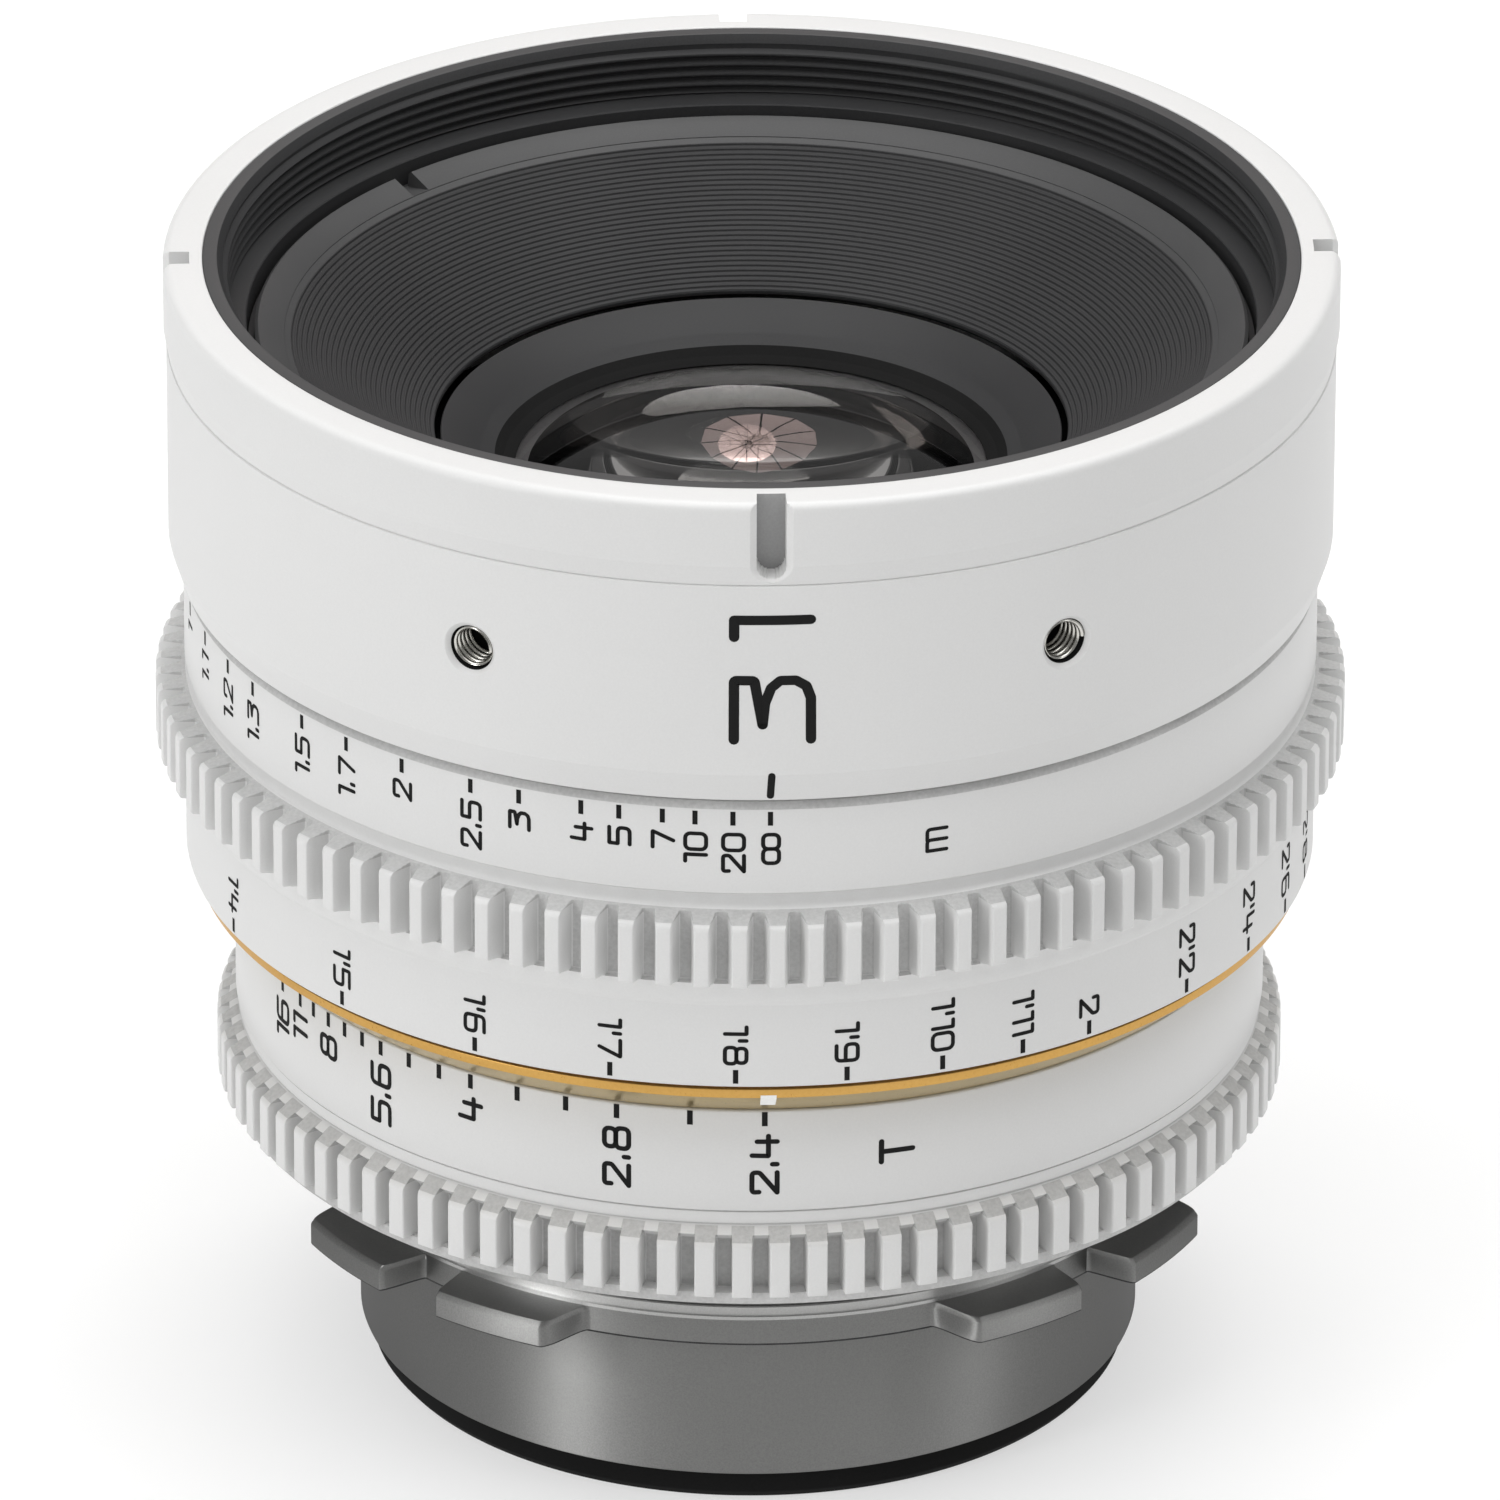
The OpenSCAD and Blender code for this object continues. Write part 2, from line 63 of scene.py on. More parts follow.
def noise(nt, vec, scale, detail=3.0, rough=0.55):
    n = nt.nodes.new("ShaderNodeTexNoise")
    n.inputs["Scale"].default_value = scale
    n.inputs["Detail"].default_value = detail
    n.inputs["Roughness"].default_value = rough
    nt.links.new(vec, n.inputs["Vector"])
    return n.outputs["Fac"]


def ramp(nt, fac, stops):
    r = nt.nodes.new("ShaderNodeValToRGB")
    e = r.color_ramp.elements
    e[0].position, e[0].color = stops[0][0], (*stops[0][1], 1)
    e[1].position, e[1].color = stops[-1][0], (*stops[-1][1], 1)
    for p, c in stops[1:-1]:
        x = e.new(p)
        x.color = (*c, 1)
    nt.links.new(fac, r.inputs["Fac"])
    return r.outputs["Color"]


def spread(nt, fac, lo, hi):
    m = nt.nodes.new("ShaderNodeMapRange")
    m.inputs["From Min"].default_value = 0.25
    m.inputs["From Max"].default_value = 0.75
    m.inputs["To Min"].default_value = lo
    m.inputs["To Max"].default_value = hi
    nt.links.new(fac, m.inputs["Value"])
    return m.outputs["Result"]


def bump(nt, bsdf, height, strength, dist):
    b = nt.nodes.new("ShaderNodeBump")
    b.inputs["Strength"].default_value = strength
    b.inputs["Distance"].default_value = dist
    nt.links.new(height, b.inputs["Height"])
    nt.links.new(b.outputs["Normal"], bsdf.inputs["Normal"])


def surface(name, c0, c1, rough, metallic=0.0, grain=5000.0, broad=60.0, bump_d=0.00001, bump_s=0.3,
            stretch=(1, 1, 1), spec=None, tones=None):
    """Finish with a broad tone drift, a fine grain in colour and roughness, and a fine bump."""
    m, nt, b = new_mat(name)
    v = coords(nt, stretch)
    fine = noise(nt, v, grain, 3.0, 0.6)
    wide = noise(nt, v, broad, 2.0, 0.5)
    mix = nt.nodes.new("ShaderNodeMath")
    mix.operation = "MULTIPLY_ADD"
    mix.inputs[1].default_value = 0.55
    half = nt.nodes.new("ShaderNodeMath")
    half.operation = "MULTIPLY"
    half.inputs[1].default_value = 0.45
    nt.links.new(wide, half.inputs[0])
    nt.links.new(fine, mix.inputs[0])
    nt.links.new(half.outputs[0], mix.inputs[2])
    col = ramp(nt, mix.outputs[0], tones or [(0.3, c0), (0.7, c1)])
    nt.links.new(col, b.inputs["Base Color"])
    nt.links.new(spread(nt, fine, rough[0], rough[1]), b.inputs["Roughness"])
    b.inputs["Metallic"].default_value = metallic
    if spec is not None:
        b.inputs["Specular IOR Level"].default_value = spec
    bump(nt, b, fine, bump_s, bump_d)
    return m


WHITE = surface("white_satin_paint", (0.620, 0.620, 0.616), (0.662, 0.662, 0.657), (0.36, 0.46), grain=6500, broad=45,
                bump_d=0.000006, bump_s=0.35)
# greyer blasted paint: a rough finish on the ground and textured faces, darkened further as painted shade for the tooth
# roots and the shoulder under the teeth
WHITE_ROUGH_AND_SHADE = surface("white_blasted_paint_and_painted_shade", (0.39, 0.39, 0.387), (0.56, 0.56, 0.555), (0.55, 0.7), grain=3600, broad=90,
                      bump_d=0.00005, bump_s=0.6)
# darker grey for the notch back walls
GREY_SLOT = surface("notch_back_wall_grey", (0.27, 0.27, 0.27), (0.34, 0.34, 0.34), (0.5, 0.62), grain=6000, bump_d=0.00001)
BLACK = surface("black_anodised", (0.025, 0.025, 0.026), (0.039, 0.039, 0.040), (0.5, 0.64), grain=7000, broad=70,
                bump_d=0.000012, bump_s=0.4, spec=0.2)
# black ring face; the same black is laid on the groove and lower chamfer under the mount flange as a painted shade line
BLACK_RING_AND_SHADE_LINE = surface("black_ring_face_and_painted_shade_line", (0.020, 0.020, 0.021), (0.032, 0.032, 0.033), (0.45, 0.58), grain=7000, broad=70,
                     bump_d=0.00001, bump_s=0.35, spec=0.25)
BLACK_DEEP = surface("black_flocked", (0.006, 0.006, 0.006), (0.012, 0.012, 0.012), (0.7, 0.85), grain=6000, spec=0.08)
BLACK_FACE = surface("black_turned_face", (0.040, 0.040, 0.041), (0.060, 0.060, 0.061), (0.45, 0.58), grain=8000, broad=70,
                     bump_d=0.000008, bump_s=0.35, spec=0.4)


def turned_steel(name, c0, c1, edge, rough, aniso):
    """Fine turned metal: the lathe grain runs round the axis, so lights stretch along it. Towards grazing angles the
    colour blends to a darker edge tone, as painted shade.
    """
    m, nt, b = new_mat(name)
    v = coords(nt)
    fine = noise(nt, v, 8500.0, 3.0, 0.6)
    wide = noise(nt, v, 40.0, 2.0, 0.5)
    tone = ramp(nt, fine, [(0.3, c0), (0.7, c1)])
    grazing_shade = ramp(nt, wide, [(0.3, edge), (0.7, tuple(x * 1.2 for x in edge))])
    # painted shade: towards grazing angles the base colour blends to the darker edge tone, standing in for dark
    # surroundings reflected at the sides
    lw = nt.nodes.new("ShaderNodeLayerWeight")
    lw.inputs["Blend"].default_value = 0.38
    mix = nt.nodes.new("ShaderNodeMix")
    mix.data_type = "RGBA"
    nt.links.new(lw.outputs["Facing"], mix.inputs["Factor"])
    nt.links.new(tone, mix.inputs["A"])
    nt.links.new(grazing_shade, mix.inputs["B"])
    nt.links.new(mix.outputs["Result"], b.inputs["Base Color"])
    nt.links.new(spread(nt, fine, rough[0], rough[1]), b.inputs["Roughness"])
    b.inputs["Metallic"].default_value = 1.0
    b.inputs["Anisotropic"].default_value = aniso
    b.inputs["Anisotropic Rotation"].default_value = 0.25
    tan = nt.nodes.new("ShaderNodeTangent")
    tan.direction_type = "RADIAL"
    tan.axis = "Z"
    nt.links.new(tan.outputs["Tangent"], b.inputs["Tangent"])
    bump(nt, b, fine, 0.35, 0.00001)
    return m


# the edge tone given here is painted shade at grazing angles
STEEL = turned_steel("turned_steel", (0.35, 0.35, 0.345), (0.47, 0.47, 0.46), (0.065, 0.065, 0.065), (0.50, 0.60), 0.95)
# brighter copy of the turned steel for the hub band above the lugs: a painted highlight
STEEL_HUB_HIGHLIGHT = turned_steel("turned_steel_hub_painted_highlight", (0.56, 0.56, 0.55), (0.67, 0.67, 0.66), (0.28, 0.28, 0.28), (0.40, 0.50), 0.9)
# darker, less metallic steel for the lug tops: a painted dark reflection of the shaded ring undersides above them
STEEL_LUG_TOP_REFLECTION = surface("lug_top_steel_painted_dark_reflection", (0.33, 0.33, 0.325), (0.45, 0.45, 0.442), (0.34, 0.46), metallic=0.75, grain=7000,
                     broad=60, bump_d=0.000006, bump_s=0.3)
STEEL_BRIGHT = surface("drawn_steel_wire", (0.52, 0.51, 0.48), (0.68, 0.67, 0.63), (0.16, 0.26), metallic=1.0, grain=6000,
                       bump_d=0.000004, bump_s=0.25)
SCREW = surface("screw_steel", (0.14, 0.14, 0.145), (0.24, 0.24, 0.245), (0.3, 0.42), metallic=1.0, grain=3000,
                bump_d=0.00001)
GOLD = surface("gold_anodised", (0.50, 0.285, 0.075), (0.59, 0.35, 0.105), (0.26, 0.36), metallic=1.0, grain=4000, broad=80,
               bump_d=0.000004, bump_s=0.25)
# paler gold for the cone: a painted reflection of the white iris ring
GOLD_CONE_REFLECTION = surface("gold_cone_painted_reflection", (0.47, 0.355, 0.15), (0.56, 0.43, 0.20), (0.26, 0.36), metallic=1.0, grain=4000, broad=80,
                    bump_d=0.000005, bump_s=0.25)
BRASS = surface("machined_brass", (0.58, 0.41, 0.16), (0.7, 0.52, 0.24), (0.28, 0.4), metallic=1.0, grain=2500,
                bump_d=0.00001)
INK = surface("engraved_black_ink", (0.006, 0.006, 0.006), (0.012, 0.012, 0.012), (0.6, 0.75), grain=5000, bump_d=0.00001, spec=0.12)
INDEX = surface("index_white_ink", (0.80, 0.80, 0.79), (0.88, 0.88, 0.87), (0.5, 0.6), grain=5000, bump_d=0.00001)
BLADE = surface("blackened_blade", (0.020, 0.020, 0.022), (0.045, 0.045, 0.048), (0.35, 0.5), metallic=0.6, grain=3500,
                bump_d=0.00001)

# grey diffuse for the front glass edge and rear bevel: a painted grey reflection
GLASS_EDGE_REFLECTION = surface("glass_edge_painted_reflection", (0.11, 0.11, 0.113), (0.18, 0.18, 0.184), (0.7, 0.85), grain=5000, bump_d=0.00001)


def coated_glass(name, ior, tint0, tint1):
    m, nt, b = new_mat(name)
    v = coords(nt)
    smear = noise(nt, v, 140.0, 4.0, 0.6)
    nt.links.new(ramp(nt, smear, [(0.3, tint0), (0.7, tint1)]), b.inputs["Base Color"])
    nt.links.new(spread(nt, smear, 0.0, 0.002), b.inputs["Roughness"])
    b.inputs["Transmission Weight"].default_value = 1.0
    b.inputs["IOR"].default_value = ior
    return m


GLASS_FRONT = coated_glass("coated_front_glass", 1.52, (0.90, 0.87, 0.85), (0.96, 0.94, 0.92))
GLASS_INNER = coated_glass("coated_inner_glass", 1.26, (0.86, 0.80, 0.77), (0.93, 0.88, 0.85))

# ------------------------------------------------------------------ mesh helpers


def make(name, verts, faces, mats, fmat=None, angle=32.0, merge=2e-7, body="barrel", nodes=(), slot=None):
    me = bpy.data.meshes.new(name)
    place = (np.asarray(verts, dtype=float) + (0, 0, LIFT)) * MM
    me.from_pydata(place.tolist(), [], [[int(i) for i in f] for f in faces])
    for m in mats:
        me.materials.append(m)
    if fmat is not None:
        me.polygons.foreach_set("material_index", np.asarray(fmat, dtype=np.int32))
    bm = bmesh.new()
    bm.from_mesh(me)
    bmesh.ops.remove_doubles(bm, verts=bm.verts, dist=merge)
    bmesh.ops.dissolve_degenerate(bm, edges=bm.edges, dist=merge)
    bmesh.ops.recalc_face_normals(bm, faces=bm.faces)
    bm.to_mesh(me)
    bm.free()
    me.polygons.foreach_set("use_smooth", [True] * len(me.polygons))
    me.set_sharp_from_angle(angle=angle * RAD)
    me.update()
    ob = bpy.data.objects.new(name, me)
    scene.collection.objects.link(ob)
    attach(ob, body)
    if nodes:
        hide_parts(*nodes)
    return ob


def rp(pts, seg=4):
    """Closed profile of (R, z, corner radius) with its corners rounded."""
    out = []
    n = len(pts)
    for i in range(n):
        p = np.array(pts[i][:2], float)
        r = pts[i][2] if len(pts[i]) > 2 else 0.0
        if r <= 0:
            out.append(tuple(p))
            continue
        a = np.array(pts[i - 1][:2], float) - p
        b = np.array(pts[(i + 1) % n][:2], float) - p
        la, lb = np.linalg.norm(a), np.linalg.norm(b)
        a, b = a / la, b / lb
        half = math.acos(max(-1, min(1, float(a @ b)))) / 2
        if half > math.pi / 2 - 0.02:
            out.append(tuple(p))
            continue
        t = min(r / math.tan(half), la * 0.49, lb * 0.49)
        r = t * math.tan(half)
        c = p + (a + b) / np.linalg.norm(a + b) * (r / math.sin(half))
        p0, p1 = p + a * t, p + b * t
        a0 = math.atan2(*(p0 - c)[::-1])
        a1 = math.atan2(*(p1 - c)[::-1])
        d = (a1 - a0 + math.pi) % (2 * math.pi) - math.pi
        out += [(c[0] + r * math.cos(a0 + d * k / seg), c[1] + r * math.sin(a0 + d * k / seg)) for k in range(seg + 1)]
    return out


def grid(R, Z, phis, closed_rows=True):
    """R, Z are arrays [column, row]; angle from the index line, which faces -Y."""
    c, r = R.shape
    ph = np.asarray(phis)[:, None] * RAD
    V = np.stack([R * np.sin(ph), -R * np.cos(ph), Z], axis=-1).reshape(-1, 3)
    F, key = [], []
    rows = r if closed_rows else r - 1
    for j in range(c):
        j2 = (j + 1) % c
        for i in range(rows):
            i2 = (i + 1) % r
            F.append((j * r + i, j2 * r + i, j2 * r + i2, j * r + i2))
            key.append((j, i))
    return V, F, key


def lathe(name, profile, mats, n=256, mat_fn=None, **kw):
    p = np.array([q[:2] for q in profile], float)
    phis = np.arange(n) * 360.0 / n
    R = np.tile(p[:, 0], (n, 1))
    Z = np.tile(p[:, 1], (n, 1))
    V, F, key = grid(R, Z, phis)
    fm = None
    if mat_fn:
        mid = (p + np.roll(p, -1, 0)) / 2
        row = [mat_fn(mid[i], p[i], p[(i + 1) % len(p)]) for i in range(len(p))]
        fm = [row[i] for _, i in key]
    return make(name, V, F, mats, fm, **kw)


def pol(R, phi, z):
    return (R * math.sin(phi * RAD), -R * math.cos(phi * RAD), z)


def fine_rows(profile, z0, z1, step):
    """Splits the near-vertical edges of a profile between two heights."""
    out = []
    n = len(profile)
    for i in range(n):
        a, b = np.array(profile[i][:2], float), np.array(profile[(i + 1) % n][:2], float)
        out.append(tuple(a))
        if abs(b[1] - a[1]) > step and min(a[1], b[1]) >= z0 - 1e-6 and max(a[1], b[1]) <= z1 + 1e-6:
            k = int(math.ceil(abs(b[1] - a[1]) / step))
            out += [tuple(a + (b - a) * t / k) for t in range(1, k)]
    return out


# ------------------------------------------------------------------ front barrel

RIM, BODY, FRONT = 40.0, 39.8, 67.6
SIDE_Z = 54.6  # height of the side threads


def front_barrel():
    prof = rp([(37.3, 58.5), (37.3, FRONT, 0.12), (RIM, FRONT, 0.62), (RIM, 63.05, 0.05), (39.74, 61.64), (39.66, 61.57),
               (BODY, 61.49, 0.02), (BODY, SIDE_Z + 2.8), (BODY, SIDE_Z - 2.8), (BODY, 47.6, 0.25), (BODY - 0.7, 45.4, 0.15), (38.0, 45.4, 0.1),
               (38.0, 49.4), (27.4, 49.4), (27.4, 52.4), (36.9, 52.4), (36.9, 58.5)], seg=6)
    prof = [(max(r, 0), z) for r, z in prof]
    # extra points across the front face so that the notches can cut it
    full = []
    for i, p in enumerate(prof):
        full.append(p)
        q = prof[(i + 1) % len(prof)]
        if abs(p[1] - FRONT) < 1e-6 and abs(q[1] - FRONT) < 1e-6:
            full += [(r, FRONT) for r in (37.8, 38.19, 38.21, 38.6, 39.0) if p[0] + 0.02 < r < q[0] - 0.02]
    prof = fine_rows(full, 61.5, 67.1, 0.08)
    prof = fine_rows(prof, SIDE_Z - 2.8, SIDE_Z + 2.8, 0.35)
    cols = set(round(x * 1.0, 4) for x in range(360))
    for c in (0, 90, 180, 270):
        for k in range(-26, 27):
            cols.add(round((c + k * 0.1) % 360, 4))
        for e in (1.0, 1.43):
            for s in (-1, 1):
                for d in (-0.004, 0.004):
                    cols.add(round((c + s * (e + d) / RIM / RAD) % 360, 4))
    for c in (30, 330):
        for k in range(-8, 9):
            cols.add(round((c + k * 0.5) % 360, 4))
    phis = np.array(sorted(cols))
    p = np.array(prof)
    R = np.tile(p[:, 0], (len(phis), 1))
    Z = np.tile(p[:, 1], (len(phis), 1))
    x = ((phis + 45) % 90 - 45) * RAD * RIM
    X = np.tile(x[:, None], (1, len(prof)))
    zc = 63.05
    d = np.where(Z > zc, np.abs(X) - 1.0, np.hypot(X, Z - zc) - 1.0)
    lim = np.where(d <= 0, 38.2, 39.57 + np.clip(d, 0, None))
    near = (np.abs(X) < 2.2) & (Z > 61.3) & (R > 38.2)
    R2 = np.where(near, np.minimum(R, lim), R)
    # the lip round each notch rolls over softly
    V, F, key = grid(R2, Z, phis)
    fm, keep = [], []
    nph = len(phis)
    for f, (j, i) in zip(F, key):
        j2, i2 = (j + 1) % nph, (i + 1) % len(prof)
        mid_phi = (phis[j] + (phis[j2] if j2 else 360.0)) / 2
        zz = (p[i, 1] + p[i2, 1]) / 2
        rr = (p[i, 0] + p[i2, 0]) / 2
        if rr > 39 and SIDE_Z - 2.8 < zz < SIDE_Z + 2.8 and min(abs(mid_phi - 30), abs(mid_phi - 330)) < 4.0:
            continue
        # notch back walls take the darker grey
        back = all(abs(R2[a, b] - 38.2) < 0.03 for a, b in ((j, i), (j2, i), (j2, i2), (j, i2))) and abs(x[j]) < 1.02
        fm.append(2 if rr < 37.0 and 52.3 < zz < 58.6 else 1 if back and zz > 61.7 else 0)
        keep.append(f)
    V = list(map(tuple, V))
    # panels with a countersunk bore
    for c in (30.0, 330.0):
        k = 16
        square = [(-4 + 0.5 * t, -2.8) for t in range(k)] + [(4.0, -2.8 + 0.35 * t) for t in range(k)] \
            + [(4 - 0.5 * t, 2.8) for t in range(k)] + [(-4.0, 2.8 - 0.35 * t) for t in range(k)]
        m = len(square)
        loops = []

        def ring(r, R_at):
            base = len(V)
            for a, b in square:
                ang = math.atan2(b / 2.8, a / 4.0)
                u, w = r * math.cos(ang), r * math.sin(ang)
                V.append(pol(R_at, c + u / BODY / RAD, SIDE_Z + w))
            loops.append(base)

        base = len(V)
        for a, b in square:
            V.append(pol(BODY, c + a, SIDE_Z + b))
        loops.append(base)
        ring(2.1, BODY)
        ring(1.93, BODY)
        ring(1.87, BODY - 0.04)
        ring(1.63, BODY - 0.28)
        ring(1.61, BODY - 0.32)
        ring(1.61, 36.8)
        for i, (a, b) in enumerate(zip(loops, loops[1:])):
            for t in range(m):
                t2 = (t + 1) % m
                keep.append((a + t, a + t2, b + t2, b + t))
                fm.append(2 if i == 5 else 0)
    return make("front_barrel_shell", V, keep, [WHITE, GREY_SLOT, BLACK_DEEP], fm, angle=30, body="barrel", nodes=("front_barrel",),
                slot="white_paint")


front_barrel()


def thread_coils():
    V, F = [], []
    for c in (-30.0, 30.0):
        turns, per, sides, pitch = 6.6, 48, 8, 0.5
        n = int(turns * per)
        base = len(V)
        er = np.array(pol(1, c, 0))
        et = np.array([math.cos(c * RAD), math.sin(c * RAD), 0])
        ez = np.array([0, 0, 1.0])
        for k in range(n + 1):
            a = 2 * math.pi * k / per
            out = et * math.cos(a) + ez * math.sin(a)
            cen = er * (39.38 - pitch * k / per) + ez * SIDE_Z
            for s in range(sides):
                b = 2 * math.pi * s / sides
                # wire of lozenge section, its ridge facing the bore
                rr = 1.425 + 0.165 * math.cos(b)
                V.append(tuple(cen + out * rr + er * 0.2 * math.sin(b)))
        for k in range(n):
            for s in range(sides):
                s2 = (s + 1) % sides
                F.append((base + k * sides + s, base + k * sides + s2, base + (k + 1) * sides + s2, base + (k + 1) * sides + s))
        F.append(tuple(base + s for s in range(sides)))
        F.append(tuple(base + n * sides + s for s in reversed(range(sides))))
    return make("thread_insert_coils", V, F, [STEEL_BRIGHT], angle=50, nodes=("thread_inserts",), slot="insert_steel")


thread_coils()

# ------------------------------------------------------------------ filter ring, baffle, front glass


def filter_ring():
    # body of the ring, its thread helix between two lathed ends
    n = 256
    lower = rp([(34.35, 58.6), (37.28, 58.6), (37.28, FRONT - 0.05, 0.1), (36.32, FRONT - 0.05, 0.06), (35.95, 66.95, 0.05)], 3)
    V, F = [], []
    phis = np.arange(n) * 360.0 / n

    def strip(profile, closed=False):
        base = len(V)
        for ph in phis:
            for r, z in profile:
                V.append(pol(r, ph, z))
        k = len(profile)
        for j in range(n):
            j2 = (j + 1) % n
            for i in range(k - 1):
                F.append((base + j * k + i, base + j2 * k + i, base + j2 * k + i + 1, base + j * k + i + 1))

    strip(lower)
    strip([(35.98, 63.26), (35.62, 63.18), (34.6, 63.05), (34.42, 63.02), (34.35, 62.94), (34.35, 58.6)])
    pitch, z0, z1 = 0.75, 63.2, 66.98
    sect = [(35.98, 0.0), (35.98, 0.09), (35.60, 0.33), (35.57, 0.42), (35.60, 0.51), (35.98, 0.75)]
    turns = int((z1 - z0) / pitch) + 2
    k = len(sect) - 1
    base = len(V)
    total = turns * n
    for t in range(total + 1):
        ph = 360.0 * t / n
        for r, dz in sect:
            z = z0 - pitch + pitch * t / n + dz
            fade = min(1.0, max(0.0, (z1 - 0.1 - z) / 0.5)) * min(1.0, max(0.0, (z - z0 + 0.05) / 0.3))
            V.append(pol(35.98 - (35.98 - r) * fade, ph, min(max(z, z0), z1)))
    w = len(sect)
    for t in range(total):
        for i in range(w - 1):
            F.append((base + t * w + i, base + (t + 1) * w + i, base + (t + 1) * w + i + 1, base + t * w + i + 1))
    fm = []
    Va = np.array(V)
    for f in F:
        z = Va[list(f), 2]
        r = np.hypot(Va[list(f), 0], Va[list(f), 1])
        fm.append(1 if z.min() > FRONT - 0.12 and r.min() > 36.2 else 0)
    return make("filter_ring_threaded", V, F, [BLACK, BLACK_FACE], fm, angle=28, nodes=("filter_ring",), slot="black_anodised")


filter_ring()


def ribbed_baffle():
    a, b = np.array([31.5, 61.55]), np.array([21.7, 54.75])
    l = b - a
    nrm = np.array([l[1], -l[0]]) / np.linalg.norm(l)
    if nrm[1] < 0:
        nrm = -nrm
    pts = []
    for i in range(29):
        for t, d in ((-0.50, 0.0), (-0.38, 0.03), (-0.26, 0.025), (-0.14, -0.025), (-0.04, -0.055), (0.06, -0.055), (0.2, -0.02), (0.38, 0.0)):
            pts.append(tuple(a + l * (0.0302 + 0.0341 * (i + t)) + nrm * d))
    prof = rp([(34.25, 57.6), (34.25, 61.3), (33.86, 61.3), (33.8, 62.3), (33.55, 62.55, 0.08), (31.75, 61.75, 0.05)], 3) + pts \
        + [(21.66, 54.74), (21.6, 54.62), (21.62, 54.4), (22.0, 54.05), (31.0, 59.95), (31.0, 57.6)]
    p = np.array(prof)
    phis = np.arange(288) * 1.25
    cols = set(np.round(phis, 4))
    for c in (224.0, 44.0):
        for k in (-1.35, -1.3, 1.3, 1.35):
            cols.add(round(c + k, 4))
    phis = np.array(sorted(cols))
    R = np.tile(p[:, 0], (len(phis), 1))
    Z = np.tile(p[:, 1], (len(phis), 1))
    slot = np.zeros(len(phis), bool)
    for c in (224.0, 44.0):
        slot |= np.abs(phis - c) < 1.33
    low = slot[:, None] & (R > 32.9) & (Z > 61.4)
    Z = np.where(low, 61.4, Z)
    V, F, key = grid(R, Z, phis)
    fm = []
    for j, i in key:
        zz, rr = p[i, 1], p[i, 0]
        fm.append(1 if 31.6 < rr < 33.85 and zz > 61.5 else 0)
    return make("ribbed_baffle_cone", V, F, [BLACK, BLACK_FACE], fm, angle=26, nodes=("ribbed_baffle",), slot="black_anodised")


ribbed_baffle()

lathe("front_retainer", rp([(20.1, 51.75), (21.2, 51.75), (21.2, 54.42, 0.12), (18.42, 52.92, 0.06), (17.5, 52.42, 0.05),
                             (16.9, 51.95, 0.05), (16.05, 51.62, 0.04), (16.3, 51.5), (18, 51.5)], 3),
      [BLACK_RING_AND_SHADE_LINE, BLACK, BLACK_DEEP], 224,
      lambda m, a, b: 0 if m[0] > 18.42 and m[1] > 52.8 else (1 if m[0] > 17.5 else 2),
      body="focus_block", nodes=("front_retaining_ring",), slot="black_anodised")


def front_glass():
    prof = []
    for k in range(29):
        r = 16.6 * math.sin(k / 28 * math.pi / 2)
        prof.append((r, 54.94 - (40 - math.sqrt(1600 - r * r))))
    rear = [16.6, 15.7, 14.75] + [14.7 * math.sin(k / 22 * math.pi / 2) for k in range(22, -1, -1)]
    prof += [(16.6, 50.7)] + [(r, 138.5 - math.sqrt(8100 - r * r)) for r in rear]
    p = np.array(prof)
    phis = np.arange(192) * 360 / 192
    V, F, key = grid(np.tile(p[:, 0], (192, 1)), np.tile(p[:, 1], (192, 1)), phis, closed_rows=False)
    # the edge and rear bevel rows take the grey diffuse as a painted reflection
    fm = [1 if 28 <= i <= 31 else 0 for _, i in key]
    return make("front_glass", V, F, [GLASS_FRONT, GLASS_EDGE_REFLECTION], fm, angle=40, merge=1e-6, body="focus_block", nodes=("front_element",),
                slot="optical_glass")


front_glass()

# ------------------------------------------------------------------ geared rings


def gear_columns(n, shift, root, tip, tip_half, root_half):
    """Column angles and the tooth outline radius at each, for a ring of n teeth. Half widths in mm of tip and of root space."""
    out = []
    pitch = 360.0 / n
    at = tip_half / tip / RAD
    ar = pitch / 2 - root_half / root / RAD
    for i in range(n):
        c = shift + pitch * i
        half = [(0.0, tip), (at - 0.10, tip), (at - 0.02, tip - 0.035), (at + 0.06, tip - 0.14)]
        for t in (0.3, 0.55, 0.8):
            # flank, slightly convex
            half.append((at + 0.06 + (ar - at - 0.06) * t ** 1.12, tip - 0.14 - (tip - 0.14 - root - 0.1) * t))
        half += [(ar, root + 0.1), (ar + 0.12, root + 0.02), ((ar + pitch / 2) / 2 + 0.06, root), (pitch / 2, root)]
        for a, r in half:
            out.append((c + a, r))
            if a > 0 and a < pitch / 2 - 1e-6:
                out.append((c - a, r))
    out = {round(a % 360, 5): r for a, r in out}
    a = np.array(sorted(out))
    return a, np.array([out[x] for x in a])


def geared(name, prof, cols, zlo, zhi, mats, mat_fn, runout=None, **kw):
    """runout (height, slope) lifts the floor of the spaces above that height, where the cutter came out."""
    phis, lim = cols
    p = np.array([q[:2] for q in prof])
    R = np.tile(p[:, 0], (len(phis), 1))
    Z = np.tile(p[:, 1], (len(phis), 1))
    cut = (Z > zlo) & (Z < zhi) & (R > lim.min() - 0.001)
    floor_r = np.tile(lim[:, None], (1, len(p)))
    if runout:
        floor_r = np.maximum(floor_r, lim.min() + np.clip(Z - runout[0], 0, None) * runout[1])
    R2 = np.where(cut, np.minimum(R, floor_r), R)
    V, F, key = grid(R2, Z, phis)
    fm = [mat_fn(R2[j, i], p[i], p[(i + 1) % len(p)], lim[j]) for j, i in key]
    return make(name, V, F, mats, fm, **kw)


